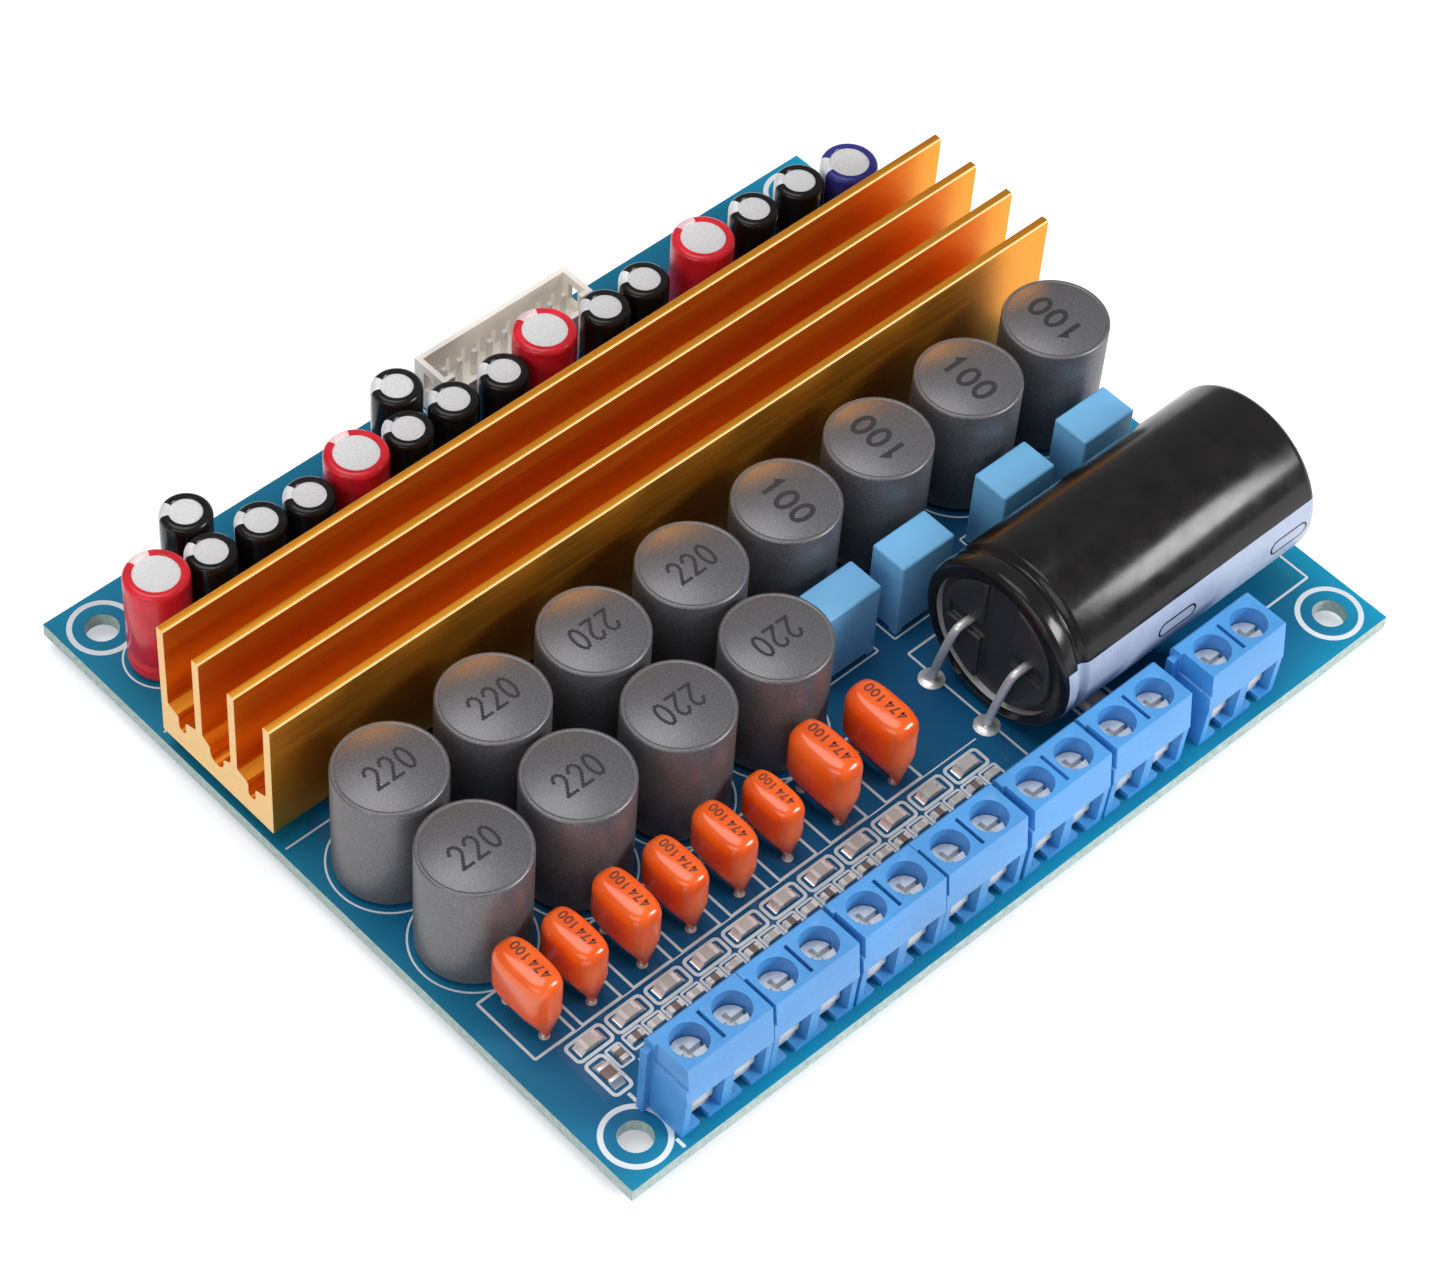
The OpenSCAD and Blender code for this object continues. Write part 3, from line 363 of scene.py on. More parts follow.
def bump(material, source, strength, depth):
    """Bump from a height value, depth in millimetres."""
    node = add(material, "ShaderNodeBump")
    node.inputs["Strength"].default_value = strength
    node.inputs["Distance"].default_value = depth * MM
    wire(material, source, node.inputs["Height"])
    wire(material, node.outputs["Normal"], shader_of(material).inputs["Normal"])


def tinted(material, source, stops):
    """Base colour from a ramp over a value."""
    wire(material, ramp(material, source, stops), shader_of(material).inputs["Base Color"])


def varied_roughness(material, source, low, high):
    """Roughness that follows a value between two levels."""
    wire(material, span(material, source, 0.3, 0.7, low, high), shader_of(material).inputs["Roughness"])


def moulded(name, colour, roughness, grain=900.0, depth=0.02, drift=0.12, specular=0.5):
    """Moulded plastic: a fine grain in bump and roughness, and a slow drift of its colour."""
    material = finish(name, colour, roughness, specular=specular)
    slow = noise(material, 60, 2)
    dark = tuple(c * (1 - drift) for c in colour)
    light = tuple(min(1, c * (1 + drift)) for c in colour)
    tinted(material, slow, [(0.35, dark), (0.65, light)])
    fine = noise(material, grain * 4, 3)
    varied_roughness(material, fine, roughness * 0.85, min(1, roughness * 1.2))
    bump(material, fine, 0.25, depth)
    return material


def plated(name, colour, roughness, scratch=(1, 1, 1), grain=3000.0, metallic=1.0, relief=0.15):
    """Plated or drawn metal: fine marks in roughness and bump, stretched along one axis."""
    material = finish(name, colour, roughness, metallic=metallic)
    marks = noise(material, grain, 4, 0.6, scratch)
    tinted(material, marks, [(0.3, tuple(c * 0.82 for c in colour)), (0.7, colour)])
    varied_roughness(material, marks, roughness * 0.8, roughness * 1.35)
    bump(material, marks, relief, 0.02)
    return material


def solder_mask():
    """Blue solder mask on both faces, paler towards the rim, and glass fibre at the cut edges.

    The pale share is the larger of |x| / 50 mm and |y| / 42 mm to a high power, plus a slow noise, so the
    rim of the board turns to teal. A small shift makes the right and front edges the palest.
    """
    material = finish("solder_mask", (0.01, 0.1, 0.25), 0.42, specular=0.22)
    coords = add(material, "ShaderNodeTexCoord")
    split = add(material, "ShaderNodeSeparateXYZ")
    wire(material, coords.outputs["Object"], split.inputs["Vector"])
    from_centre = add(material, "ShaderNodeVectorMath", operation="ABSOLUTE")
    per_half = (1 / (BOARD_X * MM), 1 / (BOARD_Y * MM), 0)
    wire(material, scaled_coords(material, per_half, (0.04, -0.02, 0)), from_centre.inputs[0])
    shares = add(material, "ShaderNodeSeparateXYZ")
    wire(material, from_centre.outputs["Vector"], shares.inputs["Vector"])
    reach = add(material, "ShaderNodeMath", operation="MAXIMUM")
    wire(material, shares.outputs["X"], reach.inputs[0])
    wire(material, shares.outputs["Y"], reach.inputs[1])
    corner = add(material, "ShaderNodeMath", operation="POWER")
    corner.inputs[1].default_value = 5.0
    wire(material, reach.outputs[0], corner.inputs[0])
    pale = add(material, "ShaderNodeMath", operation="MULTIPLY_ADD")
    pale.inputs[1].default_value = 0.6
    wire(material, corner.outputs[0], pale.inputs[0])
    wire(material, span(material, noise(material, 22, 2), 0.3, 0.7, 0.0, 0.3), pale.inputs[2])
    mask = ramp(material, pale.outputs[0], [
        (0.0, (0.003, 0.066, 0.17)), (0.35, (0.004, 0.10, 0.24)),
        (0.65, (0.005, 0.18, 0.32)), (1.0, (0.004, 0.31, 0.52)),
    ])
    weave = noise(material, 1800, 2)
    fibre = ramp(material, weave, [(0.3, (0.30, 0.42, 0.40)), (0.7, (0.50, 0.60, 0.56))])
    half_t = BOARD_TOP * MM / 2
    from_middle = add(material, "ShaderNodeMath", operation="SUBTRACT")
    from_middle.inputs[1].default_value = half_t
    wire(material, split.outputs["Z"], from_middle.inputs[0])
    height = add(material, "ShaderNodeMath", operation="ABSOLUTE")
    wire(material, from_middle.outputs[0], height.inputs[0])
    on_face = span(material, height.outputs[0], half_t - 0.06 * MM, half_t - 0.02 * MM, 0, 1)
    mix = add(material, "ShaderNodeMix", data_type="RGBA")
    wire(material, on_face, mix.inputs["Factor"])
    wire(material, fibre, mix.inputs["A"])
    wire(material, mask, mix.inputs["B"])
    wire(material, mix.outputs["Result"], shader_of(material).inputs["Base Color"])
    ripple = noise(material, 700, 3)
    varied_roughness(material, ripple, 0.34, 0.5)
    bump(material, ripple, 0.12, 0.02)
    return material


def ferrite():
    """Sintered ferrite: dark half-metallic grey with fine lighter specks and a satin skin."""
    material = finish("ferrite_shield", (0.17, 0.167, 0.175), 0.4, metallic=0.6)
    specks = noise(material, 5200, 4, 0.7)
    tinted(material, specks, [
        (0.30, (0.11, 0.108, 0.115)), (0.55, (0.165, 0.162, 0.17)), (0.78, (0.27, 0.265, 0.28)),
    ])
    varied_roughness(material, specks, 0.36, 0.48)
    bump(material, specks, 0.22, 0.02)
    return material


def anodised():
    """Gold anodised extrusion: satin metal with die lines stretched along the length."""
    material = finish("gold_anodised", (0.86, 0.34, 0.03), 0.4, metallic=0.98)
    lines = noise(material, 2600, 4, 0.6, (0.012, 1, 1))
    tinted(material, lines, [(0.3, (0.83, 0.315, 0.025)), (0.7, (0.89, 0.36, 0.035))])
    varied_roughness(material, lines, 0.35, 0.45)
    bump(material, lines, 0.06, 0.01)
    return material


def sawn_gold_and_edge_highlight():
    """Sawn ends of the extrusion: pale gold with short saw marks across the cut; also a painted highlight on
    fin front edges.
    """
    material = finish("sawn_gold_and_edge_highlight", (0.90, 0.60, 0.25), 0.48, metallic=0.3)
    marks = noise(material, 2400, 4, 0.6, (1, 0.15, 1))
    tinted(material, marks, [(0.3, (0.85, 0.54, 0.20)), (0.7, (0.95, 0.65, 0.30))])
    varied_roughness(material, marks, 0.4, 0.6)
    bump(material, marks, 0.2, 0.02)
    return material


def can_top():
    """Bare aluminium of the cans: pale satin with a fine rolled speckle."""
    material = finish("can_aluminium", (0.74, 0.74, 0.75), 0.5, metallic=0.3)
    speckle = noise(material, 3800, 4, 0.7)
    tinted(material, speckle, [(0.3, (0.62, 0.62, 0.63)), (0.7, (0.78, 0.78, 0.79))])
    varied_roughness(material, speckle, 0.42, 0.62)
    bump(material, speckle, 0.2, 0.02)
    return material


def sleeve(name, colour, roughness=0.2, specular=0.35, drift=0.2):
    """Shrink sleeve: glossy film with slight puckers and a soft drift of its colour."""
    material = finish(name, colour, roughness, specular=specular)
    pucker = noise(material, 420, 3)
    dark = tuple(c * (1 - drift) for c in colour)
    light = tuple(min(1, c * (1 + drift)) for c in colour)
    tinted(material, pucker, [(0.3, dark), (0.7, light)])
    varied_roughness(material, pucker, roughness * 0.8, roughness * 1.3)
    bump(material, pucker, 0.15, 0.05)
    return material


def dipped_coat():
    """Orange dipped coating: thick gloss with soft waves and deeper colour in the thick parts."""
    material = finish("orange_dip", (0.86, 0.11, 0.01), 0.2, coat=0.25)
    wave = noise(material, 260, 2)
    tinted(material, wave, [(0.3, (0.81, 0.085, 0.006)), (0.7, (0.88, 0.13, 0.012))])
    varied_roughness(material, wave, 0.16, 0.26)
    bump(material, wave, 0.3, 0.12)
    return material


mask_blue = solder_mask()
track_blue = moulded("track_blue", (0.006, 0.10, 0.235), 0.4)
print_white = moulded("board_print", (0.66, 0.71, 0.74), 0.55)
gold = anodised()
cut_gold_and_edge_highlight = sawn_gold_and_edge_highlight()
coil_grey = ferrite()
coil_foot = moulded("coil_foot", (0.03, 0.03, 0.032), 0.5)
coil_print = moulded("coil_print", (0.022, 0.021, 0.023), 0.6)
orange = dipped_coat()
orange_print = moulded("dip_print", (0.16, 0.03, 0.012), 0.45)
box_blue = moulded("box_case", (0.17, 0.46, 0.77), 0.45, grain=500)
red_film = sleeve("red_sleeve", (0.62, 0.016, 0.03))
red_stripe = sleeve("red_stripe", (0.85, 0.60, 0.60))
black_film = sleeve("black_sleeve", (0.010, 0.009, 0.009), 0.16, 0.25)
black_stripe = sleeve("black_stripe", (0.68, 0.69, 0.71))
blue_film = sleeve("blue_sleeve", (0.03, 0.03, 0.20), 0.16, 0.25)
main_film_black = sleeve("main_film_black", (0.009, 0.008, 0.008), 0.19, 0.3)
stripe_grey = sleeve("main_stripe", (0.41, 0.47, 0.61), 0.3, drift=0.05)
aluminium = can_top()
rubber = moulded("plug_rubber", (0.022, 0.022, 0.024), 0.42, grain=700)
tin = plated("tinned_lead", (0.86, 0.86, 0.85), 0.34, metallic=0.5)
solder = plated("bright_solder", (0.85, 0.84, 0.82), 0.3, grain=1500, metallic=0.6)
steel = plated("screw_steel", (0.90, 0.90, 0.88), 0.45, grain=1800, metallic=0.3, relief=0.6)
nickel = plated("clamp_nickel", (0.86, 0.82, 0.77), 0.42, (0.2, 1, 1), metallic=0.35)
terminal_blue = moulded("terminal_blue", (0.05, 0.28, 0.66), 0.42, grain=600, specular=0.9)
cream = moulded("header_nylon", (0.95, 0.90, 0.82), 0.45, drift=0.03)
chip_beige = moulded("chip_ceramic", (0.52, 0.49, 0.45), 0.4)
chip_black = moulded("chip_black", (0.025, 0.025, 0.027), 0.4)
# Brown of the chip resistors: painted shade and painted reflection of the orange capacitors, in place of the
# chips' own black.
chip_painted_shade_brown = moulded("chip_painted_shade_brown", (0.20, 0.14, 0.115), 0.35)
pad_grey = moulded("thermal_pad", (0.42, 0.44, 0.47), 0.7)


# Board, tracks and printing

def dress_node(node, material):
    """Gives a CAD node that keeps its own shape its finish."""
    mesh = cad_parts[node].data
    mesh.materials.clear()
    mesh.materials.append(material)


def line(*points, width=0.2):
    """One printed line on the board."""
    return strip(np.array(points), width, BOARD_TOP - PRINT_T, BOARD_TOP + PRINT_T)


def outline(path, width=0.2):
    """One closed printed line on the board."""
    return strip(path, width, BOARD_TOP - PRINT_T, BOARD_TOP + PRINT_T, closed=True)


def board_printing():
    """White lines: rings at the mounting holes, circles and frames round parts, signs at the terminals.

    The lines take turns over a few small heights, so two lines that cross share no face.
    """
    mounts = [(sx * MOUNT_X, sy * MOUNT_Y) for sx in (-1, 1) for sy in (-1, 1)]
    lines = [outline(arc(mount, 3.15), 0.55) for mount in mounts]
    lines += [outline(arc(site, 6.0, count=64)) for site in COIL_SITES]
    lines += [outline(rounded_frame(site, 4.7, 7.9, 0.1, 2), 0.28) for site in DIP_SITES]
    lines += [outline(rounded_frame(site, 7.6, 4.9, 0.1, 2)) for site in BOX_SITES]
    lines += [outline(rounded_frame(site, 4.2, 2.1, 0.45), 0.35) for site in LARGE_SITES]
    lines += [outline(rounded_frame(site, 2.06, 1.75, 0.2), 0.25) for site in SMALL_SITES]
    lines += [outline(rounded_frame(CROSS_SITE[0], 1.6, 2.2, 0.2), 0.25)]
    lines += [outline(rounded_frame(CORNER_SITE[0], 2.1, 4.2, 0.45), 0.35)]
    end_x, half_dash = BLOCK_X[0] - 5.6, 0.55
    for y in (-34.8, -41.1):
        lines += [line((end_x, y - half_dash), (end_x, y + half_dash), width=0.35)]
    lines += [outline(arc(site, 3.75)) for site in RED_SITES]
    lines += [outline(arc(site, 2.85), 0.15) for site in BLACK_SITES]
    lines += [outline(arc(site, 3.4)) for site in BLUE_SITES]
    main_mid = (MAIN_X + MAIN_L / 2, MAIN_Y)
    lines += [outline(rounded_frame(main_mid, MAIN_L + 1.6, 2 * MAIN_R + 0.4, 0.1, 2), 0.25)]
    lines += [outline(rounded_frame((6.0, 39.15), 20.5, 5.1, 0.1, 2))]
    sink_end, chips_end = 49.4, 8.4
    lines += [line((-sink_end, y), (sink_end, y)) for y in (6.2, 24.2)]
    lines += [line((start, y), (chips_end, y), width=0.15) for start, y in ((-44.9, -26.3), (-40.4, -32.2))]
    back_y, sign_y, sign_x, arm = -34.9, -33.9, 2.6, 0.5
    for x in BLOCK_X:
        lines += [line((x - 5.0, back_y), (x + 5.0, back_y))]
        lines += [line((at - arm, sign_y), (at + arm, sign_y)) for at in (x - sign_x, x + sign_x)]
        lines += [line((x - sign_x, sign_y - arm), (x - sign_x, sign_y + arm))]
    layers = [(moved(one, (0, 0, LAYER_STEP * (k % LAYERS))), 0) for k, one in enumerate(lines)]
    return put("board_printing", layers, [print_white])


def board_tracks():
    """Copper tracks under the mask, each a low flat bar from part to part."""
    low, high = BOARD_TOP - 0.01, BOARD_TOP + 0.012
    tracks = []
    for x, coil in zip(DIP_SITES[:, 0], np.repeat(COIL_X[:4], 2)):
        bend = [(coil, -19.5), (coil, -19.0), (x, -25.9), (x, -33.5)]
        tracks.append(strip(smooth_path(bend, 1), 1.1, low, high))
    for x in np.repeat(COIL_X, 2) + np.tile([-2.5, 2.5], len(COIL_X)):
        tracks.append(strip([(x, 4.6), (x, 7.4)], 1.6, low, high))
    for k, x in enumerate(np.linspace(-44, 44, 23)):
        lean = 1.2 if k % 2 else -1.2
        bend = [(x, 24.6), (x, 26.4), (x + lean, 27.6), (x + lean, 34.5 + k % 3)]
        tracks.append(strip(bend, 0.35, low, high))
    for x in 8.8 + 0.6 * np.arange(7):
        tracks.append(strip([(x, -33.2), (x, -29.5), (x + 1.7, -27.5)], 0.25, low, high))
    return put("board_tracks", [(t, 0) for t in tracks], [track_blue])


# Heatsink

def sink_outline():
    """Cross-section of the extrusion: four eased fins, sloped floors and a groove in each channel."""
    half, pitch, fin = 8.1, 15.25 / 3, 0.475
    floor, edge, depth = 4.2, 4.65, 1.8
    ease, chamfer, rise = 0.16, 0.12, 0.25
    path = [[-half, chamfer], [-half + chamfer, 0], [half - chamfer, 0], [half, chamfer]]
    for k in (3, 2, 1, 0):
        middle = (k - 1.5) * pitch
        path += arc((middle + fin - ease, SINK_H - ease), ease, 0, 90, 5).tolist()
        path += arc((middle - fin + ease, SINK_H - ease), ease, 90, 180, 5).tolist()
        if k:
            centre = middle - pitch / 2
            groove = 1.0 if k == 2 else 0.525
            near, far = centre + groove, centre - groove
            wall, next_wall = middle - fin, middle - pitch + fin
            path += [[wall, edge + rise], [wall - chamfer, edge]]
            path += [[near + 0.2, floor + 0.02], [near, floor - 0.18]]
            path += arc((centre, floor - depth + groove), groove, 0, -180, 9).tolist()
            path += [[far, floor - 0.18], [far - 0.2, floor + 0.02]]
            path += [[next_wall + chamfer, edge], [next_wall, edge + rise]]
    return np.array(path)


def heatsink():
    """The outline carried along the length, with the sawn ends paler and a painted highlight on each fin's
    front edge.
    """
    path = sink_outline()
    shape = moved(prism(path, SINK_L), (-SINK_L / 2, SINK_Y, SINK_Z))
    # Faces falling away at the front of each fin tip take the pale gold as a painted highlight; the two end
    # caps take it as the bare sawn cut.
    after = np.roll(path, -1, 0)
    at_tip = path[:, 1] + after[:, 1] > 2 * SINK_H - 0.35
    falling = after[:, 1] < path[:, 1] - 0.01
    tones = np.concatenate([(at_tip & falling).astype(int), [1, 1]])
    return put("heatsink_extrusion", [(shape, tones)], [gold, cut_gold_and_edge_highlight],
               replaces=("heatsink",), sharp=25)


def chip_legs():
    """Bent legs of the amplifier chips: a flat outline in (y, z) carried across each leg's width."""
    foot = [(3.1, 0.5), (3.1, 0.65), (3.5, 0.65), (3.62, 0.14), (4.05, 0.14), (4.05, 0), (3.5, 0), (3.4, 0.5)]
    leg = moved(prism(foot, 0.3), (-0.15, 0, 0))
    along = 0.65 * (np.arange(16) - 7.5)
    chips = 24.6 * (np.arange(4) - 1.5)
    x = (chips[:, None] + along).ravel()
    near = np.insert(in_row(x, SINK_Y), 2, BOARD_TOP, 1)
    both = np.concatenate([near, near])
    turn = np.repeat([0.0, 180.0], len(near))
    return put("chip_legs", [(copies(leg, both, turn), 0)], [tin])


# Inductors

def stroke_digit(digit):
    """Strokes of a digit in a cell one unit wide and 1.6 high, as a list of paths."""
    if digit == "0":
        angle = np.radians(np.linspace(0, 360, 29))
        return [np.stack([0.5 + 0.42 * np.cos(angle), 0.8 + 0.72 * np.sin(angle)], -1)]
    if digit == "1":
        return [np.array([[0.28, 1.25], [0.56, 1.52], [0.56, 0.08]])]
    if digit == "2":
        hook = arc((0.5, 1.1), 0.42, 165, -35, 12)
        return [np.concatenate([hook, [[0.1, 0.08], [0.92, 0.08]]])]
    if digit == "4":
        return [np.array([[0.72, 0.08], [0.72, 1.52], [0.1, 0.5], [0.95, 0.5]])]
    return [np.array([[0.08, 1.52], [0.92, 1.52], [0.4, 0.08]])]


def number_paths(text, height, spacing=1.28, squeeze=1.0):
    """Strokes of a number centred on the origin, scaled to the given height and squeezed across."""
    scale = height / 1.6 * np.array([squeeze, 1.0])
    shift = np.array([(len(text) - 1) * spacing + 1, 1.6]) / 2
    return [
        (path + [k * spacing, 0] - shift) * scale
        for k, digit in enumerate(text)
        for path in stroke_digit(digit)
    ]


def resampled(path, step):
    """Points at equal steps along a path."""
    leg = np.linalg.norm(np.diff(path, axis=0), axis=1)
    reach = np.concatenate([[0], np.cumsum(leg)])
    at = np.linspace(0, reach[-1], max(2, int(round(reach[-1] / step)) + 1))
    return np.stack([np.interp(at, reach, path[:, k]) for k in (0, 1)], -1)


def inductor_body():
    """Profile of a shielded inductor: eased foot, straight wall, bevelled rim and a faint ring on top."""
    top = COIL_H
    return turned([
        (0, 0.4), (5.2, 0.4), (COIL_R, 0.62), (COIL_R, top - 0.24), (COIL_R - 0.05, top - 0.12),
        (COIL_R - 0.16, top - 0.02), (COIL_R - 0.26, top), (5.02, top - 0.01), (4.96, top - 0.05),
        (4.9, top - 0.01), (0, top),
    ], 72)


def inductors(name, sites, turns, text, bold, node):
    """Inductor bodies on their feet, with the value printed on top in dots or in bold strokes."""
    places = np.insert(sites, 2, BOARD_TOP, 1)
    foot = turned([(0, 0), (4.6, 0), (4.7, 0.1), (4.7, 0.42), (0, 0.42)], 48)
    parts = [(copies(inductor_body(), places), 0), (copies(foot, places), 1)]
    paths = number_paths(text, 2.7) if bold else number_paths(text, 2.85, 1.35, 0.74)
    if bold:
        marks = [strip(path, 0.5, COIL_H - 0.02, COIL_H) for path in paths]
    else:
        dot = turned([(0.2, -0.02), (0.2, 0), (0, 0)], 10)
        spots = np.concatenate([resampled(path, 0.36) for path in paths])
        marks = [copies(dot, np.insert(spots, 2, COIL_H, 1))]
    parts += [(copies(moved(mark, (0, 0, 0.012)), places, turns), 2) for mark in marks]
    return put(name, parts, [coil_grey, coil_foot, coil_print], replaces=(node,))


# Film capacitors

def dipped_body():
    """Dipped capacitor: superellipse sections whose half widths follow the height, with a leg at each end.

    x = a(h) c |c|^(2/p - 1), y = b(h) s |s|^(2/p - 1) for c, s = cos, sin of the angle; the foot is arched
    between the legs.
    """
    foot, shoulder, dome, columns = 0.12, 0.82, 0.18, 48
    bend = np.linspace(0.2, math.pi / 2, 9)
    level = np.concatenate([np.linspace(0, shoulder, 18), 1 - dome * np.cos(bend)])
    height = foot + (DIP_H - foot) * level
    swell = 1 - np.clip(1 - level / 0.44, 0, 1) ** 1.2
    crown = np.sqrt(np.clip(1 - ((level - shoulder) / dome).clip(0) ** 2, 0, 1))
    half_x = (0.34 + 1.61 * swell) * (0.5 + 0.5 * crown)
    half_y = (2.85 + 0.65 * swell) * (0.78 + 0.22 * crown)
    angle = np.linspace(0, TURN, columns + 1)[None]
    c, s = np.cos(angle), np.sin(angle)
    power = 2 / 3.2 - 1
    x = half_x[:, None] * c * np.maximum(np.abs(c), 1e-6) ** power
    y = half_y[:, None] * s * np.maximum(np.abs(s), 1e-6) ** power
    arch = 0.9 * (1 - (np.abs(y) / half_y[:, None]) ** 2) * np.clip(1 - level / 0.3, 0, 1)[:, None]
    z = height[:, None] + arch
    points = np.stack([x, y, z], -1).reshape(-1, 3)
    rows, rim = len(level), np.arange(columns)
    ends = np.stack([rim[::-1], (rows - 1) * (columns + 1) + rim])
    return points, [grid_quads(rows, columns + 1), ends]


def dipped_capacitors():
    """Dipped bodies, each at its own size, with a small code on top."""
    places = np.insert(DIP_SITES, 2, BOARD_TOP, 1)
    low, high = DIP_H - 0.01, DIP_H + 0.01
    code = [
        strip(path + [along, -0.3], 0.2, low, high)
        for text, along in (("474", -1.25), ("100", 1.25))
        for path in number_paths(text, 0.95)
    ]
    parts = [(copies(dipped_body(), places, 0.0, DIP_SIZE), 0)]
    parts += [(copies(mark, places, 90.0, DIP_SIZE), 1) for mark in code]
    return put("dipped_bodies", parts, [orange, orange_print], replaces=("dipped_capacitors",))


def box_capacitors():
    """Boxed capacitors: rounded cases on four corner feet."""
    case = moved(rounded_box((7.0, 4.3, 9.4), 0.28), (0, 0, BOARD_TOP + 5.1))
    foot = moved(rounded_box((0.95, 0.95, 0.8), 0.1, 3), (0, 0, BOARD_TOP + 0.4))
    corners = np.array([[3.0 * sx, 1.65 * sy] for sx in (-1, 1) for sy in (-1, 1)])
    feet = (BOX_SITES[:, None] + corners).reshape(-1, 2)
    return put("box_cases", [(copies(case, BOX_SITES), 0), (copies(foot, feet), 0)], [box_blue],
               replaces=("box_capacitors",))


# Upright electrolytic capacitors

def sleeve_profile(radius, top, lift=0.25, lip=0.95):
    """Closed section of a shrink sleeve: foot lip, crimp groove, wall, rounded shoulder and top lip."""
    bend = np.radians(np.linspace(0, 90, 7))
    shoulder = np.stack([radius - 0.62 + 0.62 * np.cos(bend), top - 0.6 + 0.6 * np.sin(bend)], -1)
    groove = lift + 1.9
    around = np.linspace(-1, 1, 9)
    crimp = np.stack([radius - 0.25 * np.cos(around * math.pi / 2) ** 2, groove + 0.55 * around], -1)
    foot = [(radius - 0.5, lift + 0.02), (radius - 0.28, lift), (radius - 0.08, lift + 0.12),
            (radius, lift + 0.45)]
    mouth = [(radius - lip + 0.06, top - 0.01), (radius - lip, top - 0.07)]
    inside = [(radius - lip, top - 0.2), (radius - 0.7, top - 0.2), (radius - 0.14, top - 0.7),
              (radius - 0.3, groove + 0.6), (radius - 0.36, groove), (radius - 0.3, groove - 0.6),
              (radius - 0.5, lift + 0.15)]
    return np.concatenate([foot, crimp, shoulder, mouth, inside])


def striped_sleeve(radius, top, stripe, segments=48, half_width=24):
    """A turned sleeve with one tone for the film and another for the columns of its polarity stripe."""
    profile = sleeve_profile(radius, top)
    shape = turned(profile, segments, closed=True)
    column = np.tile(np.arange(segments), len(profile))
    middle = (column + 0.5) / segments * 360
    tone = (np.abs((middle - stripe + 180) % 360 - 180) < half_width).astype(int)
    return shape, tone


def minus_marks(radius, stripe, heights):
    """Upright dashes on the stripe: a small patch bent round the wall, just proud of it."""
    wide, tall = np.meshgrid(np.radians(np.linspace(-7, 7, 5)), np.linspace(-0.75, 0.75, 5), indexing="xy")
    angle = math.radians(stripe) + wide
    skin = radius + 0.012
    patch = np.stack([skin * np.cos(angle), skin * np.sin(angle), tall], -1).reshape(-1, 3)
    return [(patch + [0, 0, z], [grid_quads(5, 5)]) for z in heights]


def upright_sleeves(name, sites, radius, top, stripe, materials, node):
    """Sleeves at each site, with the stripe and its dashes facing the given way."""
    places = np.insert(sites, 2, BOARD_TOP, 1)
    shape, tone = striped_sleeve(radius, top, stripe)
    parts = [(copies(shape, places), np.tile(tone, len(places)))]
    parts += [(copies(mark, places), 0) for mark in minus_marks(radius, stripe, (4.6, 8.2))]
    return put(name, parts, materials, replaces=(node,))


# Main capacitor

def to_main_axis(shape):
    """Takes a shape turned about Z onto the main capacitor's axis, which runs along X."""
    points, faces = shape
    return points[:, [2, 0, 1]] + [MAIN_X, MAIN_Y, MAIN_Z], faces


def main_sleeve():
    """Sleeve of the main capacitor: rolled near rim, bead groove, long wall, round far shoulder, end lips."""
    bend = np.linspace(0, math.pi / 2, 8)
    near = np.stack([MAIN_R - 0.8 + 0.8 * np.sin(bend), 0.75 - 0.75 * np.cos(bend)], -1)
    around = np.linspace(-1, 1, 13)
    bead = np.stack([MAIN_R - 0.6 * np.cos(around * math.pi / 2) ** 2, 2.7 + 0.9 * around], -1)
    far = np.stack([MAIN_R - 1.1 + 1.1 * np.cos(bend), MAIN_L - 1.0 + 1.0 * np.sin(bend)], -1)
    profile = np.concatenate([
        [(MAIN_R - 1.5, 0.2), (MAIN_R - 1.5, 0.04)], near, bead, far,
        [(MAIN_R - 1.5, MAIN_L - 0.02), (MAIN_R - 1.5, MAIN_L - 0.2), (MAIN_R - 1.1, MAIN_L - 0.22),
         (MAIN_R - 0.3, MAIN_L - 1.2), (MAIN_R - 0.3, 4.0), (MAIN_R - 0.85, 2.7), (MAIN_R - 0.3, 1.6),
         (MAIN_R - 0.9, 0.2)],
    ])
    segments, rim_rows, end_rows = 96, 8, 12
    stripe, half_width = 189, 28
    shape = to_main_axis(turned(profile, segments, closed=True))
    column = np.tile(np.arange(segments), len(profile))
    row = np.repeat(np.arange(len(profile)), segments)
    angle = (column + 0.5) / segments * 360
    along = (row > rim_rows) & (row < len(profile) - end_rows)
    tone = ((np.abs(angle - stripe) < half_width) & along).astype(int)
    oval = rounded_frame((0.0, 0.0), 5.0, 1.7, 0.84, 9)
    marks = []
    for reach in (15.6, 31.4):
        points, faces = strip(oval, 0.22, MAIN_R - 0.02, MAIN_R + 0.012, closed=True)
        turn = math.pi + points[:, 1] / MAIN_R
        skin = points[:, 2]
        bent = np.stack([skin * np.cos(turn), skin * np.sin(turn), reach + points[:, 0]], -1)
        marks.append(to_main_axis((bent, faces)))
    return put("main_film", [(shape, tone)] + [(m, 0) for m in marks], [main_film_black, stripe_grey],
               replaces=("main_sleeve",))


def vent_score():
    """Score lines of the safety vent on the main can's closed end: one bar turned by thirds about X."""
    points, faces = rounded_box((0.06, 0.35, 6.0), 0.025, 3)
    reach = points[:, 2] + 3.0
    parts = []
    for angle in np.radians([90, 210, 330]):
        y = reach * math.cos(angle) - points[:, 1] * math.sin(angle) + MAIN_Y
        z = reach * math.sin(angle) + points[:, 1] * math.cos(angle) + MAIN_Z
        parts.append(((np.stack([points[:, 0] + MAIN_X + MAIN_L - 0.22, y, z], -1), faces), 0))
    return put("vent_score", parts, [steel])


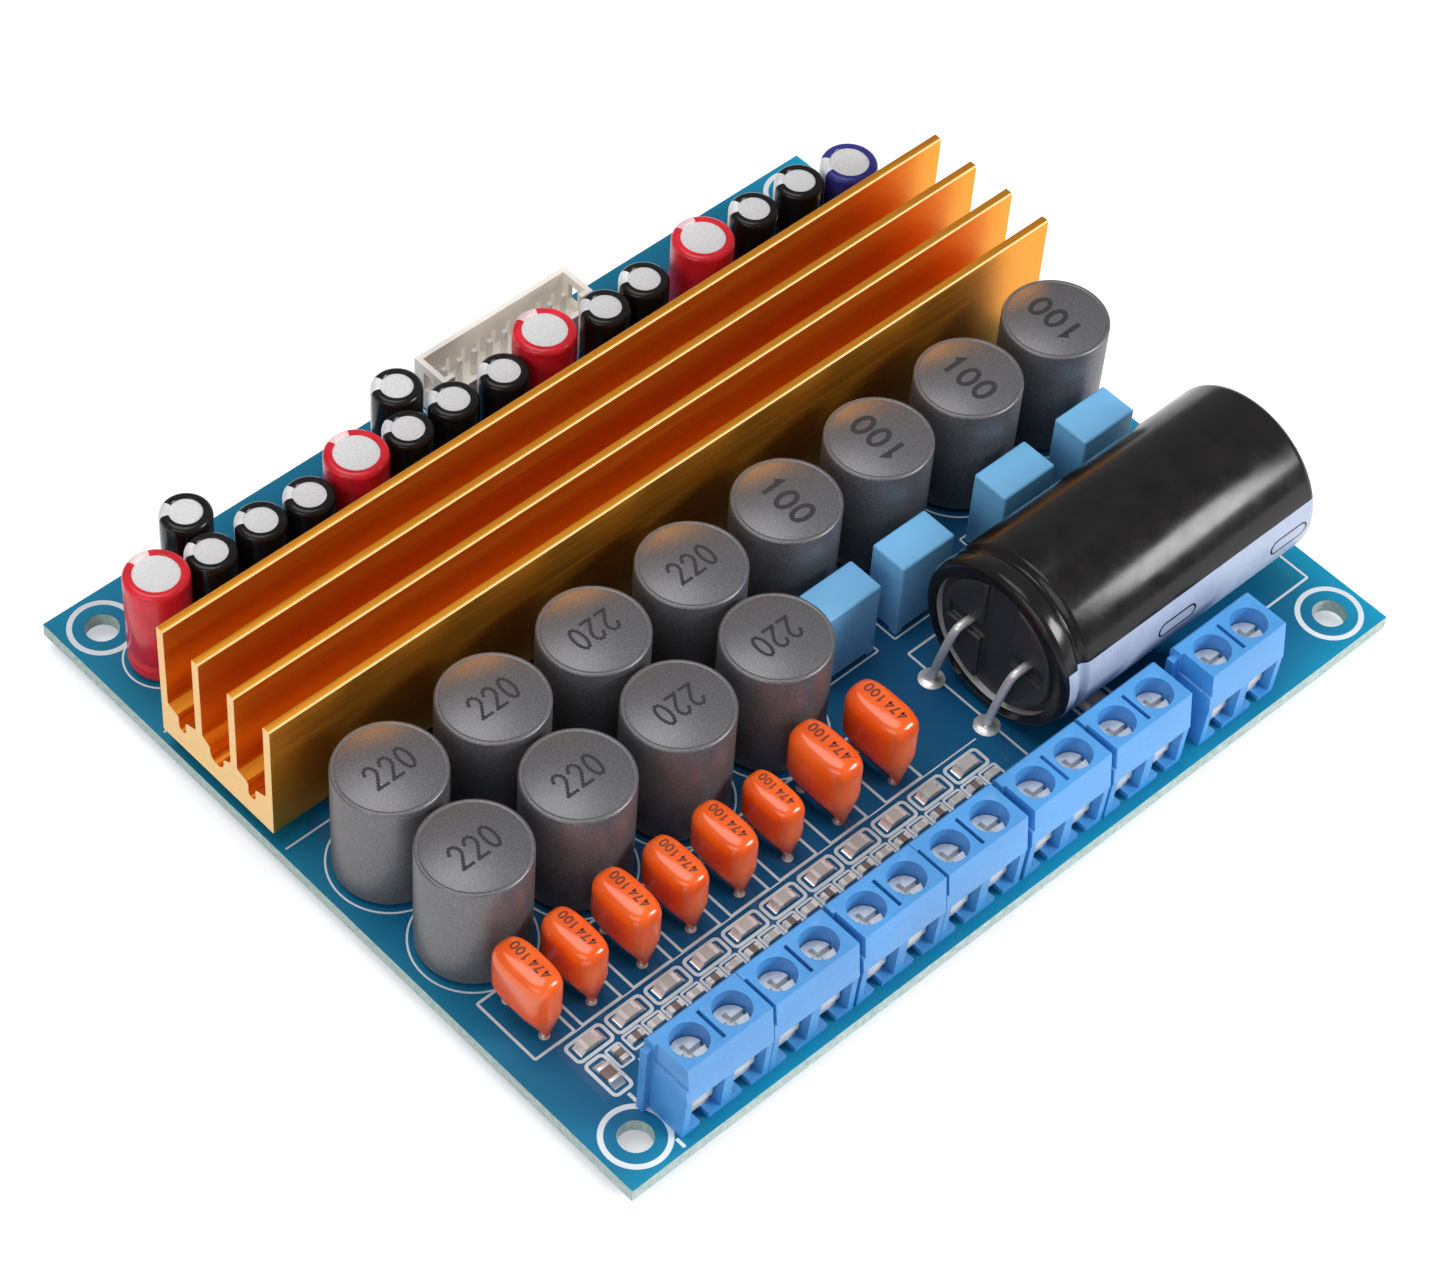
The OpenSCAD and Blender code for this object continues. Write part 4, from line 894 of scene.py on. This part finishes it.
def main_leads():
    """Bent leads from the plug down to their pads, with solder on both faces of the board."""
    lead_r, pad_x = 0.45, 10.35
    pad = turned([(1.35, -0.02), (1.35, 0.04), (1.1, 0.08), (0.75, 0.15), (0.55, 0.28), (0.44, 0.42)], 32)
    parts = []
    for y in (MAIN_Y - 3.75, MAIN_Y + 3.75):
        pad_y = y + 2.0
        route = [
            (12.5, y, MAIN_Z), (11.2, y, MAIN_Z), (10.45, y + 0.1, MAIN_Z - 0.3),
            (10.4, y + 0.9, MAIN_Z - 3.5), (pad_x, pad_y, BOARD_TOP + 0.6),
            (pad_x, pad_y, BOARD_TOP - 0.4), (pad_x, pad_y, -1.2),
        ]
        parts.append((tube(smooth_path(route), lead_r), 0))
        parts.append((moved(pad, (pad_x, pad_y, BOARD_TOP)), 1))
        parts.append((moved(fillet(lead_r, 0.9), (pad_x, pad_y, 0)), 1))
    return put("main_wires", parts, [tin, solder], replaces=("main_leads",))


# Leads and solder

def fillet(radius, spread, tail=1.2):
    """Solder fillet under the board: a hollow cone that sweeps from its pad to the lead, then the cut tip."""
    reach = np.linspace(0, 1, 7)
    r = radius + spread * (1 - reach) ** 2.2
    z = -0.75 * reach
    sweep = np.stack([r, z], -1)[::-1]
    tip = [(0, -tail), (radius * 0.75, -tail), (radius, -tail + 0.12)]
    return turned(np.concatenate([tip, sweep, [(r[0], 0.02)]]), 16)


def component_leads():
    """Leads of the inductors, film and upright capacitors: round wire above the board, solder under it."""
    film = pairs(DIP_SITES, 5.0, 1)
    groups = [
        (pairs(COIL_SITES, 5.0, 0), 0.4, 0.02),
        (film, 0.3, 0.9),
        (pairs(BOX_SITES, 5.0, 0), 0.3, 0.5),
        (pairs(np.concatenate([RED_SITES, BLUE_SITES]), 2.5, 0), 0.25, 0.3),
        (pairs(BLACK_SITES, 2.0, 0), 0.25, 0.3),
    ]
    parts = []
    for sites, radius, rise in groups:
        parts.append((copies(fillet(radius, 0.5), sites), 1))
        stem = turned([(radius, -0.1), (radius, BOARD_TOP + rise), (0, BOARD_TOP + rise)], 12)
        parts.append((copies(stem, sites), 0))
    pad = turned([(0.55, 0), (0.55, 0.02), (0.45, 0.04), (0.3, 0.07)], 20)
    parts.append((copies(pad, np.insert(film, 2, BOARD_TOP, 1)), 1))
    return put("soldered_leads", parts, [tin, solder], replaces=("component_leads",))


def pairs(sites, spacing, axis):
    """Two lead places for each site, apart by the spacing along X (0) or Y (1)."""
    places = np.repeat(sites, 2, 0)
    places[:, axis] += np.tile([-spacing / 2, spacing / 2], len(sites))
    return places


def chip_solder():
    """Solder ramps at the ends of the chip parts: a hollow curve from the chip's end down to its pad."""
    def ramps(sites, half_length, width, height, run, turn=0.0):
        reach = np.linspace(0, 1, 6)
        curve = np.stack([run * reach, height * (1 - reach) ** 1.8 + 0.02], -1)
        shape = np.concatenate([curve[::-1], [(0, -0.01), (run, -0.01)]])
        ramp_points, ramp_faces = prism(shape, width)
        across = np.stack([ramp_points[:, 1], width / 2 - ramp_points[:, 0], ramp_points[:, 2]], -1)
        one = across + [half_length, 0, BOARD_TOP]
        right = copies((one, ramp_faces), sites, turn)
        left = copies((one, ramp_faces), sites, turn + 180.0)
        return [(right, 0), (left, 0)]

    parts = ramps(LARGE_SITES, 1.0, 1.3, 0.55, 0.55)
    parts += ramps(CORNER_SITE, 1.0, 1.3, 0.55, 0.55, 90.0)
    parts += ramps(SMALL_SITES, 0.8, 0.8, 0.32, 0.08)
    parts += ramps(CROSS_SITE, 0.8, 0.8, 0.32, 0.25, 90.0)
    return put("chip_solder", parts, [solder])


def corner_chip():
    """The chip part across the front left corner: a rounded body between two wrapped ends."""
    body = moved(rounded_box((1.24, 1.14, 0.54), 0.05), (*CORNER_SITE[0], BOARD_TOP + 0.3))
    end = rounded_box((1.3, 0.46, 0.6), 0.07)
    ends = [(*(CORNER_SITE[0] + [0, side]), BOARD_TOP + 0.3) for side in (-0.78, 0.78)]
    # The body uses the brown that paints shade and reflection on the chip resistors.
    return put("corner_chip", [(body, 0), (copies(end, ends), 1)], [chip_painted_shade_brown, solder])


# Stage, light and camera

def stage():
    """A wide pale floor just under the pins; camera, mirror and glass rays also see its own faint white."""
    reach = 1500.0
    signs = ((-1, -1), (1, -1), (1, 1), (-1, 1))
    corners = np.array([[sx * reach, sy * reach, FLOOR_Z] for sx, sy in signs])
    mesh = bpy.data.meshes.new("floor")
    mesh.from_pydata((corners * MM).tolist(), [], [(0, 1, 2, 3)])
    floor = bpy.data.objects.new("floor", mesh)
    bpy.context.scene.collection.objects.link(floor)
    paper = finish("floor_paper", (0.82, 0.82, 0.82), 0.9, specular=0.0)
    path = add(paper, "ShaderNodeLightPath")
    seen = add(paper, "ShaderNodeMath", operation="MAXIMUM")
    wire(paper, path.outputs["Is Camera Ray"], seen.inputs[0])
    wire(paper, path.outputs["Is Glossy Ray"], seen.inputs[1])
    also = add(paper, "ShaderNodeMath", operation="MAXIMUM")
    wire(paper, seen.outputs[0], also.inputs[0])
    wire(paper, path.outputs["Is Transmission Ray"], also.inputs[1])
    level = add(paper, "ShaderNodeMath", operation="MULTIPLY")
    level.inputs[1].default_value = 0.42
    wire(paper, also.outputs[0], level.inputs[0])
    shader = shader_of(paper)
    shader.inputs["Emission Color"].default_value = (1, 1, 1, 1)
    wire(paper, level.outputs[0], shader.inputs["Emission Strength"])
    mesh.materials.append(paper)


def softbox(name, place, aim, size, watts):
    """A rectangular area lamp at a place, turned to its aim, in metres and watts."""
    data = bpy.data.lights.new(name, "AREA")
    data.shape = "RECTANGLE"
    data.size, data.size_y = size
    data.energy = watts
    lamp = bpy.data.objects.new(name, data)
    bpy.context.scene.collection.objects.link(lamp)
    back = np.asarray(place, float) - np.asarray(aim, float)
    back /= np.linalg.norm(back)
    side = np.cross([0.0, 0.0, 1.0], back)
    side /= np.linalg.norm(side)
    axes = np.stack([side, np.cross(back, side), back], 1)
    lamp.matrix_world = Matrix.Translation(place) @ Matrix(axes.tolist()).to_4x4()


def studio():
    """Soft light: a pale world, a key lamp at the front right, a wide one overhead and a fill at the left."""
    world = bpy.data.worlds.new("studio")
    bpy.context.scene.world = world
    world.use_nodes = True
    background = world.node_tree.nodes["Background"]
    background.inputs["Color"].default_value = (1, 1, 1, 1)
    background.inputs["Strength"].default_value = 0.35
    aim = (0, 0, 0.01)
    softbox("key_light", (0.39, -0.54, 0.38), aim, (0.26, 0.26), 4.2)
    softbox("top_light", (-0.08, 0.16, 0.74), aim, (0.5, 0.5), 2.6)
    softbox("fill_light", (-0.62, -0.16, 0.34), aim, (0.5, 0.4), 1.4)
    bpy.context.scene.view_settings.view_transform = "Standard"


def photo_camera():
    """Pinhole camera at the photograph's place: its axes and focal length in the frame of the board."""
    data = bpy.data.cameras.new("photo_camera")
    data.sensor_fit = "HORIZONTAL"
    data.sensor_width = 36.0
    data.lens = 104.494
    data.clip_start = 0.01
    data.clip_end = 20.0
    camera = bpy.data.objects.new("photo_camera", data)
    bpy.context.scene.collection.objects.link(camera)
    ahead = np.array([0.4629, 0.4340, -0.7729])
    ahead /= np.linalg.norm(ahead)
    right = np.array([0.7301, -0.6812, 0.0548])
    right -= ahead * (right @ ahead)
    right /= np.linalg.norm(right)
    axes = np.stack([right, np.cross(right, ahead), -ahead], 1)
    place = (-0.188722, -0.176772, 0.313561)
    camera.matrix_world = Matrix.Translation(place) @ Matrix(axes.tolist()).to_4x4()
    bpy.context.scene.camera = camera


# The object

photo_camera()
stage()
studio()

for node, material in (
    ("circuit_board", mask_blue), ("amplifier_chips", chip_black), ("thermal_pads", pad_grey),
    ("capacitor_cans", aluminium), ("capacitor_bungs", rubber),
    ("chip_capacitors", chip_beige), ("chip_resistors", chip_painted_shade_brown), ("chip_ends", solder),
    ("header_pins", tin), ("terminal_contacts", tin),
):
    dress_node(node, material)

board_printing()
board_tracks()
heatsink()
chip_legs()
inductors("inductor_bodies_220", COILS_220, [0, 0, 180, 0, 0, 0, 180, 180], "220", False, "inductors_220")
inductors("inductor_bodies_100", COILS_100, [-90, 90, -90, 90], "100", True, "inductors_100")
dipped_capacitors()
box_capacitors()
upright_sleeves("red_film_sleeves", RED_SITES, 3.25, 12.5, 90, [red_film, red_stripe],
                "red_sleeves")
upright_sleeves("black_film_sleeves", BLACK_SITES, 2.6, 11.5, 135, [black_film, black_stripe],
                "black_sleeves")
upright_sleeves("blue_film_sleeve", BLUE_SITES, 3.0, 11.5, 150, [blue_film, black_stripe],
                "blue_sleeve")
main_sleeve()
vent_score()
main_leads()
component_leads()
chip_solder()
corner_chip()
eased("header_housing", cream, "board", 0.1)
eased("heatsink_screws", steel, "board", 0.15)
eased("main_plug", rubber, "board", 0.2)
for k in range(1, 7):
    eased(f"speaker_terminal_{k}", terminal_blue, "board", 0.1)
eased("power_terminal", terminal_blue, "board", 0.1)
for k in range(1, 15):
    eased(f"terminal_screw_{k}", steel, f"screw_{k}", 0.08)
    eased(f"wire_clamp_{k}", nickel, f"clamp_{k}", 0.06)
